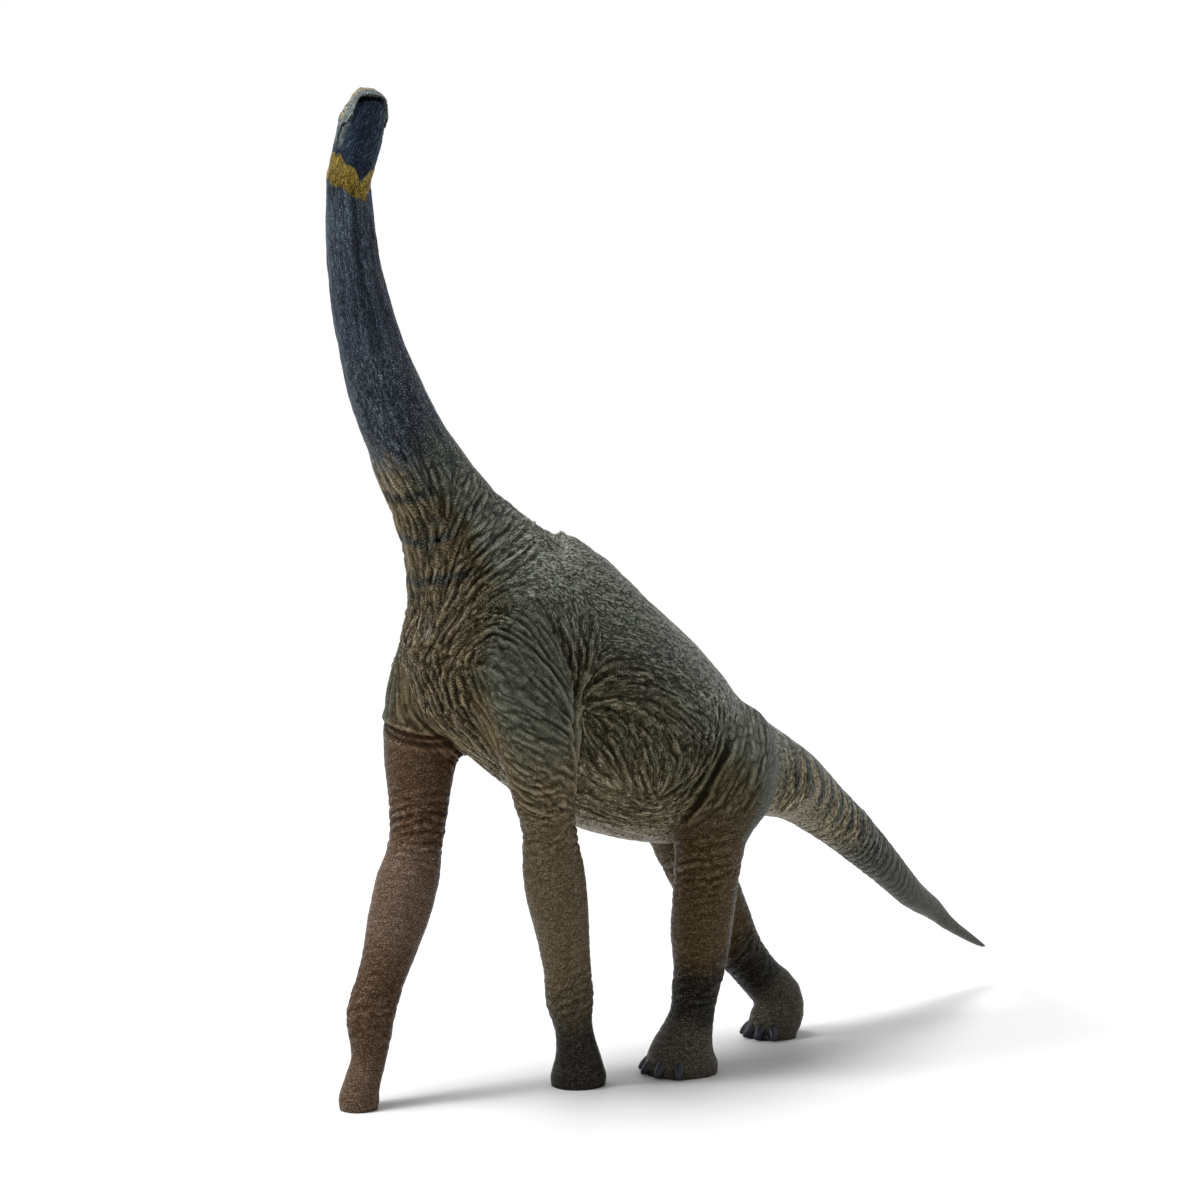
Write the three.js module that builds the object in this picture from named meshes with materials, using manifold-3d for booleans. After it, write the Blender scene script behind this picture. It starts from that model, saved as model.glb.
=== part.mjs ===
// A long-necked, high-shouldered toy dinosaur in mid stride, moulded in soft vinyl.
// Millimetres. +X is the animal's forward, +Y its left, +Z up, and its soles stand at Z = 0.
import * as THREE from 'three';
import * as BufferGeometryUtils from 'three/addons/utils/BufferGeometryUtils.js';
import Module from 'manifold-3d';

const wasm = await Module();
wasm.setup();

// Fits between the mouldings
const seamGap = 0.3;
const plugClearance = 0.3;
const pinClearance = 0.3;
const overrun = 4;

// Trunk: the hips lie behind the frame's middle, the withers carry the neck
const trunkLength = 130;
const hipSetback = 62;
const hipAxisHeight = 112;
const trunkRise = 72;
const trunkHalfWidth = 36;
const trunkHalfDepth = 46;
const trunkWall = 4.5;

// Neck
const neckRise = 118;
const neckReach = 52;
const neckSideSweep = 5;
const neckRootRadius = 21;
const neckTurnDegrees = 80;

// Tail
const tailLength = 180;
const tailDrop = 95;
const tailSideSweep = 26;
const tailRootRadius = 18;

// Front legs
const shoulderHeight = 150;
const frontLegRadius = 12.5;
// How far ahead of the shoulder joint each sole is set down
const rightForeStride = 45;
const leftForeStride = -34;
const shoulderJointShare = 0.877;
const foreShoulderSide = 20;
const rightForeSoleSide = 14;
const leftForeSoleSide = 6;

// Hind legs
const hipJointHeight = 128;
const hindLegRadius = 18;
// How far ahead of the hip joint each sole is set down
const leftHindStride = 26;
const rightHindStride = -36;
const hipJointShare = 0.092;
const hipJointSide = 18;
const leftHindSoleSide = 15;
const rightHindSoleSide = 8;

// Plugs that the legs, neck and tail are pushed in with
const legPlugRadius = 5;
const legPlugLength = 11;
const plugFlatShare = 0.7;
const neckPlugRadius = 9;
const neckPlugLength = 13;
const tailPlugRadius = 7.5;
const tailPlugLength = 12;
const neckSpigotRadius = 4.5;
const neckSpigotLength = 9;
const tailSpigotRadius = 2.6;
const tailSpigotLength = 7;
const headPlugRadius = 3;
const headPlugLength = 5;
const socketWall = 3;
const plugSides = 16;

// Stiffening rods inside the neck and the tail
const neckRodRadius = 1.5;
const tailRodRadius = 1.2;
const rodSides = 8;
const rodBends = 10;

// Locating posts that cross the trunk between its halves
const postRadius = 4.5;
const postPinRadius = 2;
const postPinLength = 5;
const postSides = 12;
const pinSides = 12;
// Body station of each post, and how far above the body's axis it stands
const postPlaces = [
  [11, 0.1],
  [12.4, -0.35],
  [13.6, 0.3],
];

// Head
const headLength = 22;
const headHalfWidth = 7;
const headHalfDepth = 7.2;
const jawRestOpenDegrees = 11;
const jawOpenLimitDegrees = 9;
const jawPinRadius = 0.8;
const jawPinSetbackShare = 0.3;
const jawPinDropShare = 0.12;
const jawKnuckleRadius = 2.1;
const jawCheekRadius = 2.8;
const jawTongueHalfWidth = 2.4;
const jawPinReachShare = 0.72;
const jawSpareDegrees = 2;

// Claws of the hind feet
const clawLength = 3.6;
const clawRadius = 1.8;
const clawSides = 8;
// Where each claw stands round the front of the foot, outward from straight ahead
const clawAnglesDegrees = [-46, -16, 14, 44];
const clawRootShare = 0.9;
const clawLiftShare = 1.3;
const clawDroopShare = 0.2;
const clawStationShares = [
  [-0.7, 0.7],
  [0, 1],
  [0.5, 0.8],
  [0.9, 0.3],
];

// How finely the skins are faceted
const trunkSides = 32;
const limbSides = 20;
const hollowSides = 16;
const headSides = 24;
const ringsPerStation = 2;
const ringsPerHollowStation = 1;

const vinylRoughness = 0.62;

function vinyl(color) {
  return new THREE.MeshStandardMaterial({ color, roughness: vinylRoughness, metalness: 0 });
}

const paint = {
  back: vinyl('#4b5149'),
  neck: vinyl('#2c3644'),
  neckBase: vinyl('#5c594c'),
  tail: vinyl('#6e6a5c'),
  tailTip: vinyl('#3f443f'),
  foreleg: vinyl('#4d3f37'),
  hindleg: vinyl('#45433a'),
};

const rodMaterial = new THREE.MeshStandardMaterial({ color: '#8d9196', roughness: 0.35, metalness: 1 });

function solidOf(geometry) {
  const bare = geometry.clone();
  bare.deleteAttribute('normal');
  bare.deleteAttribute('uv');
  const merged = BufferGeometryUtils.mergeVertices(bare);
  return new wasm.Manifold(new wasm.Mesh({
    numProp: 3,
    vertProperties: new Float32Array(merged.attributes.position.array),
    triVerts: new Uint32Array(merged.index.array),
  }));
}

function geometryOf(solid) {
  const mesh = solid.getMesh();
  const geometry = new THREE.BufferGeometry();
  const corners = new Float32Array(mesh.numVert * 3);
  for (let i = 0; i < mesh.numVert; i += 1) {
    for (let axis = 0; axis < 3; axis += 1) {
      corners[i * 3 + axis] = mesh.vertProperties[i * mesh.numProp + axis];
    }
  }
  geometry.setAttribute('position', new THREE.BufferAttribute(corners, 3));
  geometry.setIndex(new THREE.BufferAttribute(new Uint32Array(mesh.triVerts), 1));
  geometry.computeVertexNormals();
  return geometry;
}

// A limb follows smooth curves through its stations. Each station has its centre, its half
// width to the left and right, its reach above and below, its squareness and its turn.
class Limb {
  constructor(stations) {
    const through = (points) => new THREE.CatmullRomCurve3(points, false, 'catmullrom', 0.5);
    this.count = stations.length;
    this.centres = through(stations.map((s) => s.centre));
    this.reaches = through(stations.map((s) => new THREE.Vector3(s.wide, s.above, s.below)));
    this.forms = through(stations.map((s) => new THREE.Vector3(s.square, s.turn, 0)));
  }

  // The place along the curve that belongs to a station number, whole or in between
  at(station) {
    return station / (this.count - 1);
  }

  // The place a true distance further along than the one given
  shifted(place, distance) {
    const step = 1 / (this.count * 50);
    const from = Math.min(Math.max(place - step, 0), 1 - 2 * step);
    const near = this.centres.getPoint(from);
    const far = this.centres.getPoint(from + 2 * step);
    return place + (distance * 2 * step) / far.distanceTo(near);
  }

  frame(place) {
    const centre = this.centres.getPoint(place);
    const ahead = this.centres.getTangent(place);
    const turn = this.forms.getPoint(place).y;
    const left = new THREE.Vector3(-Math.sin(turn), Math.cos(turn), 0);
    left.addScaledVector(ahead, -left.dot(ahead)).normalize();
    const above = new THREE.Vector3().crossVectors(ahead, left);
    return { centre, ahead, left, above };
  }

  matrix(place) {
    const { centre, ahead, left, above } = this.frame(place);
    return new THREE.Matrix4().makeBasis(left, above, ahead).setPosition(centre);
  }

  ring(place, sides, grow) {
    const { centre, left, above } = this.frame(place);
    const reach = this.reaches.getPoint(place);
    const power = 2 / this.forms.getPoint(place).x;
    const points = [];
    for (let i = 0; i < sides; i += 1) {
      const angle = (2 * Math.PI * i) / sides;
      const across = Math.sign(Math.cos(angle)) * Math.abs(Math.cos(angle)) ** power;
      const rise = Math.sign(Math.sin(angle)) * Math.abs(Math.sin(angle)) ** power;
      const tall = rise > 0 ? reach.y : reach.z;
      points.push(centre.clone()
        .addScaledVector(left, across * Math.max(reach.x + grow, seamGap))
        .addScaledVector(above, rise * Math.max(tall + grow, seamGap)));
    }
    return points;
  }

  // The closed skin between two places, grown or shrunk all round
  skin(from, to, sides, grow = 0, ringCount = ringsPerStation) {
    const steps = Math.max(2, Math.ceil((to - from) * (this.count - 1) * ringCount));
    const rings = [];
    for (let i = 0; i <= steps; i += 1) {
      rings.push(this.ring(from + ((to - from) * i) / steps, sides, grow));
    }
    return loft(rings);
  }
}

// A closed body through rings of as many points each, with flat fans over both ends
function loft(rings) {
  const sides = rings[0].length;
  const points = rings.flat();
  const heart = (ring) => ring
    .reduce((sum, point) => sum.add(point), new THREE.Vector3())
    .divideScalar(sides);
  const start = points.push(heart(rings[0])) - 1;
  const end = points.push(heart(rings[rings.length - 1])) - 1;
  const index = [];
  for (let row = 0; row < rings.length - 1; row += 1) {
    for (let i = 0; i < sides; i += 1) {
      const a = row * sides + i;
      const b = row * sides + ((i + 1) % sides);
      index.push(a, b, a + sides, b, b + sides, a + sides);
    }
  }
  const last = (rings.length - 1) * sides;
  for (let i = 0; i < sides; i += 1) {
    const next = (i + 1) % sides;
    index.push(start, next, i);
    index.push(end, last + i, last + next);
  }
  const geometry = new THREE.BufferGeometry();
  geometry.setFromPoints(points);
  geometry.setIndex(index);
  return solidOf(geometry);
}

// A keyed peg that stands on a limb's cross-section: round, with one flat so that it cannot turn.
// It runs from one place along its axis to another, and grows into its own socket.
function keyedPeg(matrix, radius, from, to, grow) {
  const outer = radius + grow;
  const flat = radius * plugFlatShare + grow;
  const angle = Math.acos(flat / outer);
  const outline = new THREE.Shape();
  outline.absarc(0, 0, outer, angle, 2 * Math.PI - angle, false);
  outline.closePath();
  const geometry = new THREE.ExtrudeGeometry(outline, {
    depth: to - from,
    bevelEnabled: false,
    curveSegments: plugSides / 2,
  });
  geometry.translate(0, 0, from);
  geometry.applyMatrix4(matrix);
  return solidOf(geometry);
}

function roundBar(matrix, radius, from, to, sides) {
  const geometry = new THREE.CylinderGeometry(radius, radius, to - from, sides);
  geometry.rotateX(Math.PI / 2);
  geometry.translate(0, 0, (from + to) / 2);
  geometry.applyMatrix4(matrix);
  return solidOf(geometry);
}

function block(low, high) {
  const size = high.clone().sub(low);
  const geometry = new THREE.BoxGeometry(size.x, size.y, size.z);
  geometry.translate(...low.clone().add(high).multiplyScalar(0.5).toArray());
  return solidOf(geometry);
}

// The body's axis, from the tail's tip to the head, as shares of the sizes above:
// how far behind the hips, how far down, how far to the right, and the radius
const tailShares = [
  [1, 1, 1, 0.035],
  [0.957, 0.966, 0.96, 0.09],
  [0.83, 0.853, 0.81, 0.172],
  [0.756, 0.766, 0.73, 0.261],
  [0.658, 0.679, 0.58, 0.339],
  [0.55, 0.545, 0.42, 0.411],
  [0.392, 0.351, 0.23, 0.55],
  [0.303, 0.253, 0.15, 0.615],
  [0.198, 0.135, 0.08, 0.778],
  [0.1, 0.07, 0, 0.94],
];

// Along the trunk, up its rise, half width, reach above and below, and squareness
const trunkShares = [
  [0, 0, 0.56, 0.42, 0.54, 2.1],
  [0.17, 0.1, 0.78, 0.54, 0.88, 2.1],
  [0.36, 0.264, 0.94, 0.69, 1.04, 2.15],
  [0.54, 0.43, 1, 0.765, 1.08, 2.2],
  [0.71, 0.61, 0.9, 0.85, 1, 2.2],
  [0.86, 0.78, 0.74, 0.82, 0.97, 2.1],
  [0.94, 1, 0.56, 0.66, 0.54, 2],
];

// Forward and up from the trunk's end, leftward sweep, radius and turn
const neckShares = [
  [0.2, 0.15, 0, 0.85, 0],
  [0.46, 0.315, 0, 0.67, 0.08],
  [0.66, 0.465, 0.1, 0.59, 0.2],
  [0.815, 0.63, 0.2, 0.51, 0.36],
  [0.93, 0.81, 0.4, 0.425, 0.56],
  [0.985, 1, 0.6, 0.355, 0.76],
  [1, 1.055, 0.8, 0.345, 0.9],
  [1.005, 1.085, 1.2, 0.35, 0.95],
  [1.02, 1.125, 1.95, 0.35, 1],
];

// Stations of the body's axis at which one moulding ends and the next begins
const tailTipSeamStation = 2.6;
const tailRootSeamStation = 9;
const neckRootSeamStation = 16.9;
const neckMiddleSeamStation = 19.8;
const headSeamStation = 23.9;
// Stations of each leg's axis at which its root on the trunk ends and the pushed-in leg begins
const rightForeSeamStation = 2.95;
const leftForeSeamStation = 4.1;
const leftHindSeamStation = 4.4;
const rightHindSeamStation = 4.3;

const trunkStart = new THREE.Vector3(-hipSetback, 0, hipAxisHeight);
const trunkReach = trunkShares.at(-1)[0] * trunkLength;
const trunkEnd = trunkStart.clone().add(new THREE.Vector3(trunkReach, 0, trunkRise));

const tailStations = tailShares.map(([back, down, right, radius]) => ({
  centre: trunkStart.clone()
    .sub(new THREE.Vector3(back * tailLength, right * tailSideSweep, down * tailDrop)),
  wide: radius * tailRootRadius,
  above: radius * tailRootRadius,
  below: radius * tailRootRadius,
  square: 2,
  turn: 0,
}));

const trunkStations = trunkShares.map(([along, up, wide, above, below, square]) => ({
  centre: trunkStart.clone().add(new THREE.Vector3(along * trunkLength, 0, up * trunkRise)),
  wide: wide * trunkHalfWidth,
  above: above * trunkHalfDepth,
  below: below * trunkHalfDepth,
  square,
  turn: 0,
}));

const neckStations = neckShares.map(([out, up, left, radius, turn]) => ({
  centre: trunkEnd.clone().add(new THREE.Vector3(out * neckReach, left * neckSideSweep, up * neckRise)),
  wide: radius * neckRootRadius,
  above: radius * neckRootRadius,
  below: radius * neckRootRadius,
  square: 2,
  turn: turn * THREE.MathUtils.degToRad(neckTurnDegrees),
}));

const body = new Limb([...tailStations, ...trunkStations, ...neckStations]);
const tailTipSeam = body.at(tailTipSeamStation);
const tailRootSeam = body.at(tailRootSeamStation);
const neckRootSeam = body.at(neckRootSeamStation);
const neckMiddleSeam = body.at(neckMiddleSeamStation);
const headSeam = body.at(headSeamStation);
const neckTop = body.at(body.count - 1);

// Legs, as stations from the shoulder or hip down to the sole. Each is placed between the joint
// and the sole by shares, forward and outward, with its height as a share of the joint's height,
// and its half width and its reach to the front and back as shares of the leg's radius.
const rightForeShares = [
  [0.04, 0.5, 1.16, 0.4, 0.6, 0.7],
  [0.1, 0.3, 1.07, 0.8, 1.3, 1.4],
  [0.2, 0.05, 0.95, 1.06, 1.5, 1.45],
  [0.33, 0.15, 0.82, 1.04, 1.26, 1.02],
  [0.385, 0.25, 0.68, 0.86, 0.88, 0.8],
  [0.43, 0.3, 0.57, 0.76, 0.78, 0.7],
  [0.5, 0.35, 0.49, 0.83, 0.95, 0.82],
  [0.62, 0.45, 0.39, 0.76, 0.87, 0.76],
  [0.745, 0.6, 0.3, 0.66, 0.67, 0.65],
  [0.87, 0.75, 0.215, 0.63, 0.64, 0.64],
  [0.89, 0.85, 0.165, 0.58, 0.6, 0.6],
  [0.91, 0.95, 0.11, 0.5, 0.46, 0.46],
  [0.97, 1, 0.055, 0.52, 0.48, 0.46],
  [1, 1, 0.02, 0.56, 0.55, 0.55],
  [1, 1, 0, 0.5, 0.5, 0.5],
];

const leftForeShares = [
  [-0.1, 0.5, 1.16, 0.4, 0.6, 0.7],
  [-0.06, 0.2, 1.07, 0.8, 1.35, 1.5],
  [0, -0.1, 0.94, 1.06, 1.4, 1.45],
  [0.07, -0.2, 0.8, 1, 0.95, 1.04],
  [0.18, -0.1, 0.7, 0.88, 0.8, 0.92],
  [0.3, 0.05, 0.62, 0.74, 0.68, 0.76],
  [0.41, 0.25, 0.54, 0.82, 0.8, 0.86],
  [0.5, 0.35, 0.46, 0.84, 0.82, 0.88],
  [0.62, 0.5, 0.37, 0.72, 0.7, 0.78],
  [0.74, 0.65, 0.275, 0.64, 0.66, 0.66],
  [0.8, 0.75, 0.21, 0.65, 0.69, 0.68],
  [0.88, 0.85, 0.145, 0.52, 0.53, 0.53],
  [0.97, 0.95, 0.075, 0.6, 0.64, 0.62],
  [1, 1, 0.022, 0.76, 0.84, 0.8],
  [1, 1, 0, 0.72, 0.78, 0.74],
];

const leftHindShares = [
  [0.1, 1, 1.04, 0.3, 0.5, 0.5],
  [0.12, 0.6, 0.98, 0.66, 1, 0.95],
  [0.28, -0.4, 0.89, 0.88, 1.16, 1.2],
  [0.52, -1.3, 0.8, 0.9, 1.1, 1.16],
  [0.74, -1.6, 0.69, 0.72, 0.85, 0.75],
  [0.78, -1.4, 0.6, 0.64, 0.72, 0.64],
  [0.8, -0.9, 0.5, 0.62, 0.68, 0.62],
  [0.82, -0.4, 0.41, 0.6, 0.66, 0.62],
  [0.8, 0, 0.32, 0.54, 0.57, 0.55],
  [0.85, 0.4, 0.235, 0.46, 0.47, 0.48],
  [0.9, 0.6, 0.165, 0.44, 0.45, 0.45],
  [0.96, 0.8, 0.105, 0.52, 0.6, 0.52],
  [1, 1, 0.055, 0.64, 0.78, 0.62],
  [1, 1, 0.018, 0.7, 0.85, 0.68],
  [1, 1, 0, 0.66, 0.78, 0.64],
];

const rightHindShares = [
  [0, 0.6, 1.04, 0.3, 0.5, 0.5],
  [0.02, 0.3, 0.97, 0.68, 1, 0.95],
  [0.05, 0, 0.87, 0.95, 1.2, 1.2],
  [0.1, -0.05, 0.74, 0.9, 1.05, 1],
  [0.2, 0, 0.61, 0.78, 0.85, 0.82],
  [0.37, 0.2, 0.48, 0.66, 0.66, 0.68],
  [0.54, 0.45, 0.38, 0.58, 0.56, 0.6],
  [0.74, 0.65, 0.27, 0.5, 0.48, 0.52],
  [1.02, 0.75, 0.18, 0.46, 0.45, 0.52],
  [1.22, 0.85, 0.125, 0.48, 0.5, 0.6],
  [1.24, 0.95, 0.075, 0.52, 0.62, 0.6],
  [1.17, 1, 0.03, 0.54, 0.62, 0.5],
  [1.17, 1, 0, 0.5, 0.58, 0.42],
];

function legOf(shares, side, joint, sole, height, radius) {
  return new Limb(shares.map(([along, outward, up, wide, front, back]) => ({
    centre: new THREE.Vector3(
      THREE.MathUtils.lerp(joint.x, sole.x, along),
      side * THREE.MathUtils.lerp(joint.y, sole.y, outward),
      up * height,
    ),
    wide: wide * radius,
    above: front * radius,
    below: back * radius,
    square: 2.1,
    turn: 0,
  })));
}

// A row of short blunt claws round the front of a hind foot
function clawsOf(limb, side) {
  const sole = limb.centres.getPoint(1);
  const reach = limb.reaches.getPoint(1);
  return clawAnglesDegrees.map((degrees) => {
    const angle = THREE.MathUtils.degToRad(degrees);
    const root = sole.clone().add(new THREE.Vector3(
      Math.cos(angle) * reach.y * clawRootShare,
      side * Math.sin(angle) * reach.x * clawRootShare,
      clawRadius * clawLiftShare,
    ));
    const direction = new THREE.Vector3(Math.cos(angle), side * Math.sin(angle), -clawDroopShare)
      .normalize();
    return new Limb(clawStationShares.map(([along, size]) => ({
      centre: root.clone().addScaledVector(direction, along * clawLength),
      wide: size * clawRadius,
      above: size * clawRadius,
      below: size * clawRadius,
      square: 2,
      turn: 0,
    }))).skin(0, 1, clawSides);
  });
}

const shoulderJointForward = trunkLength * shoulderJointShare - hipSetback;
const hipJointForward = trunkLength * hipJointShare - hipSetback;
const foreJoint = new THREE.Vector2(shoulderJointForward, foreShoulderSide);
const hindJoint = new THREE.Vector2(hipJointForward, hipJointSide);
const rightForeSole = new THREE.Vector2(shoulderJointForward + rightForeStride, rightForeSoleSide);
const leftForeSole = new THREE.Vector2(shoulderJointForward + leftForeStride, leftForeSoleSide);
const leftHindSole = new THREE.Vector2(hipJointForward + leftHindStride, leftHindSoleSide);
const rightHindSole = new THREE.Vector2(hipJointForward + rightHindStride, rightHindSoleSide);

const legs = [
  {
    name: 'front_right_leg',
    limb: legOf(rightForeShares, -1, foreJoint, rightForeSole, shoulderHeight, frontLegRadius),
    seam: rightForeSeamStation,
    color: paint.foreleg,
  },
  {
    name: 'front_left_leg',
    limb: legOf(leftForeShares, 1, foreJoint, leftForeSole, shoulderHeight, frontLegRadius),
    seam: leftForeSeamStation,
    color: paint.foreleg,
  },
  {
    name: 'hind_left_leg',
    limb: legOf(leftHindShares, 1, hindJoint, leftHindSole, hipJointHeight, hindLegRadius),
    seam: leftHindSeamStation,
    color: paint.hindleg,
  },
  {
    name: 'hind_right_leg',
    limb: legOf(rightHindShares, -1, hindJoint, rightHindSole, hipJointHeight, hindLegRadius),
    seam: rightHindSeamStation,
    color: paint.hindleg,
  },
];

for (const leg of legs) {
  if (leg.name.startsWith('hind')) {
    leg.claws = clawsOf(leg.limb, leg.name.includes('left') ? 1 : -1);
  }
}

const group = new THREE.Group();

function addPiece(name, solid, material, parent = group) {
  const mesh = new THREE.Mesh(geometryOf(solid), material.clone());
  mesh.name = name;
  parent.add(mesh);
}

// The neck and tail rods, as bars of a given radius along the body's axis
function rodAlong(from, to, radius) {
  const points = [];
  for (let i = 0; i <= rodBends; i += 1) {
    points.push(body.centres.getPoint(from + ((to - from) * i) / rodBends));
  }
  const section = new THREE.Shape();
  section.absarc(0, 0, radius, 0, 2 * Math.PI, false);
  const geometry = new THREE.ExtrudeGeometry(section, {
    steps: rodBends,
    curveSegments: rodSides / 2,
    bevelEnabled: false,
    extrudePath: new THREE.CatmullRomCurve3(points, false, 'catmullrom', 0.5),
  });
  return solidOf(geometry);
}

// Trunk with the roots of the four legs
const trunkFrom = body.shifted(tailRootSeam, seamGap / 2);
const trunkTo = body.shifted(neckRootSeam, -seamGap / 2);
const bareTrunk = body.skin(trunkFrom, trunkTo, trunkSides);
const clearTrunk = body.skin(trunkFrom, trunkTo, trunkSides, seamGap);
const hollowFrom = body.shifted(tailRootSeam, tailPlugLength + socketWall);
const hollowTo = body.shifted(neckRootSeam, -neckPlugLength - socketWall);
let trunk = bareTrunk;
let hollow = body.skin(hollowFrom, hollowTo, hollowSides, -trunkWall, ringsPerHollowStation);
let sockets = keyedPeg(body.matrix(neckRootSeam), neckPlugRadius,
  -neckPlugLength - plugClearance, overrun, plugClearance);
sockets = sockets.add(keyedPeg(body.matrix(tailRootSeam), tailPlugRadius,
  -overrun, tailPlugLength + plugClearance, plugClearance));

for (const leg of legs) {
  const place = leg.limb.at(leg.seam);
  const matrix = leg.limb.matrix(place);
  const root = leg.limb.skin(0, leg.limb.shifted(place, -seamGap / 2), limbSides);
  trunk = trunk.add(root);
  hollow = hollow.subtract(roundBar(matrix, legPlugRadius + socketWall,
    -legPlugLength - socketWall, 0, postSides));
  sockets = sockets.add(keyedPeg(matrix, legPlugRadius,
    -legPlugLength - plugClearance, overrun, plugClearance));
  const shank = leg.limb.skin(leg.limb.shifted(place, seamGap / 2), 1, limbSides).subtract(clearTrunk);
  let solid = shank.add(keyedPeg(matrix, legPlugRadius, -legPlugLength, overrun, 0));
  for (const claw of leg.claws ?? []) {
    solid = solid.add(claw);
  }
  addPiece(leg.name, solid, leg.color);
}

// Locating posts between the halves, each with a pin on the left half and its hole in the right
const acrossBody = new THREE.Matrix4().makeRotationX(-Math.PI / 2);
let pins = null;
let pinHoles = null;
for (const [station, riseShare] of postPlaces) {
  const centre = body.centres.getPoint(body.at(station));
  const matrix = new THREE.Matrix4()
    .makeTranslation(centre.x, 0, centre.z + riseShare * trunkHalfDepth)
    .multiply(acrossBody);
  hollow = hollow.subtract(roundBar(matrix, postRadius, -trunkHalfWidth, trunkHalfWidth, postSides));
  const pin = roundBar(matrix, postPinRadius, -postPinLength, overrun, postSides);
  const hole = roundBar(matrix, postPinRadius + pinClearance,
    -postPinLength - pinClearance, overrun, postSides);
  pins = pins ? pins.add(pin) : pin;
  pinHoles = pinHoles ? pinHoles.add(hole) : hole;
}

trunk = trunk.subtract(hollow).subtract(sockets);
const farSide = trunkLength * 2;
const leftSide = block(
  new THREE.Vector3(-farSide, seamGap / 2, -farSide),
  new THREE.Vector3(farSide, farSide, farSide * 2),
);
const rightSide = block(
  new THREE.Vector3(-farSide, -farSide, -farSide),
  new THREE.Vector3(farSide, -seamGap / 2, farSide * 2),
);
addPiece('torso_left_shell', trunk.intersect(leftSide).add(pins), paint.back);
addPiece('torso_right_shell', trunk.intersect(rightSide).subtract(pinHoles), paint.back);

// Tail, with its stiffening rod
const tailRodFrom = body.shifted(tailTipSeam, tailSpigotLength + socketWall);
const tailRodTo = body.shifted(tailRootSeam, tailPlugLength - plugClearance);
const tailRodChannel = rodAlong(
  body.shifted(tailRodFrom, -pinClearance),
  body.shifted(tailRodTo, overrun),
  tailRodRadius + pinClearance,
);
const tailBase = body
  .skin(body.shifted(tailTipSeam, seamGap / 2), body.shifted(tailRootSeam, -seamGap / 2), limbSides)
  .add(keyedPeg(body.matrix(tailRootSeam), tailPlugRadius, -overrun, tailPlugLength, 0))
  .subtract(keyedPeg(body.matrix(tailTipSeam), tailSpigotRadius,
    -overrun, tailSpigotLength + plugClearance, plugClearance))
  .subtract(tailRodChannel);
addPiece('tail_base', tailBase, paint.tail);
addPiece('tail_core_rod', rodAlong(tailRodFrom, tailRodTo, tailRodRadius), rodMaterial);
const tailTip = body
  .skin(0, body.shifted(tailTipSeam, -seamGap / 2), limbSides)
  .add(keyedPeg(body.matrix(tailTipSeam), tailSpigotRadius, -seamGap - plugClearance, tailSpigotLength, 0));
addPiece('tail_tip', tailTip, paint.tailTip);

// Neck, with its stiffening rod
const neckRodFrom = body.shifted(neckRootSeam, plugClearance - neckPlugLength);
const neckRodTo = body.shifted(headSeam, -headPlugLength - socketWall * 2);
const neckRodChannel = rodAlong(
  body.shifted(neckRodFrom, -overrun),
  body.shifted(neckRodTo, pinClearance),
  neckRodRadius + pinClearance,
);
const neckBase = body
  .skin(body.shifted(neckRootSeam, seamGap / 2), body.shifted(neckMiddleSeam, -seamGap / 2), limbSides)
  .add(keyedPeg(body.matrix(neckRootSeam), neckPlugRadius, -neckPlugLength, overrun, 0))
  .subtract(keyedPeg(body.matrix(neckMiddleSeam), neckSpigotRadius,
    -neckSpigotLength - plugClearance, overrun, plugClearance))
  .subtract(neckRodChannel);
addPiece('neck_base', neckBase, paint.neckBase);
addPiece('neck_core_rod', rodAlong(neckRodFrom, neckRodTo, neckRodRadius), rodMaterial);
const neckUpper = body
  .skin(body.shifted(neckMiddleSeam, seamGap / 2), body.shifted(headSeam, -seamGap / 2), limbSides)
  .add(keyedPeg(body.matrix(neckMiddleSeam), neckSpigotRadius, -neckSpigotLength, overrun, 0))
  .subtract(keyedPeg(body.matrix(headSeam), headPlugRadius,
    -headPlugLength - plugClearance, overrun, plugClearance))
  .subtract(neckRodChannel);
addPiece('neck_upper', neckUpper, paint.neck);

// The head is made in its own frame: X towards the snout, Y to its left, Z to its crown.
// Along the head, half width, reach above and below, as shares of the head's sizes.
const headShares = [
  [0, 1.05, 1.02, 1.02],
  [0.18, 1.04, 1, 1.08],
  [0.36, 1.04, 1.05, 1.02],
  [0.5, 0.98, 1.04, 0.92],
  [0.64, 0.88, 0.8, 0.8],
  [0.78, 0.82, 0.6, 0.7],
  [0.9, 0.74, 0.5, 0.6],
  [0.97, 0.55, 0.38, 0.45],
  [1, 0.25, 0.2, 0.22],
];

const headLimb = new Limb(headShares.map(([along, wide, above, below]) => ({
  centre: new THREE.Vector3(along * headLength, 0, 0),
  wide: wide * headHalfWidth,
  above: above * headHalfDepth,
  below: below * headHalfDepth,
  square: 2.1,
  turn: 0,
})));

// A slab with an outline drawn in the head's side view, as wide as given to each side
function sideSlab(points, halfWidth) {
  const outline = new THREE.Shape(points.map(([x, z]) => new THREE.Vector2(x, z)));
  const geometry = new THREE.ExtrudeGeometry(outline, { depth: 2 * halfWidth, bevelEnabled: false });
  geometry.translate(0, 0, -halfWidth);
  geometry.rotateX(Math.PI / 2);
  return solidOf(geometry);
}

const jawPin = new THREE.Vector3(jawPinSetbackShare * headLength, 0, -jawPinDropShare * headHalfDepth);
const jawMatrix = new THREE.Matrix4().makeTranslation(jawPin.x, 0, jawPin.z).multiply(acrossBody);
const farAhead = headLength * 2;
const farBelow = -headHalfDepth * 3;
const cheekFront = jawPin.x + jawCheekRadius;
const fullOpen = THREE.MathUtils.degToRad(jawRestOpenDegrees + jawOpenLimitDegrees + jawSpareDegrees);
const jawLean = Math.tan(fullOpen);
const slotHalfWidth = jawTongueHalfWidth + seamGap;

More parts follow.
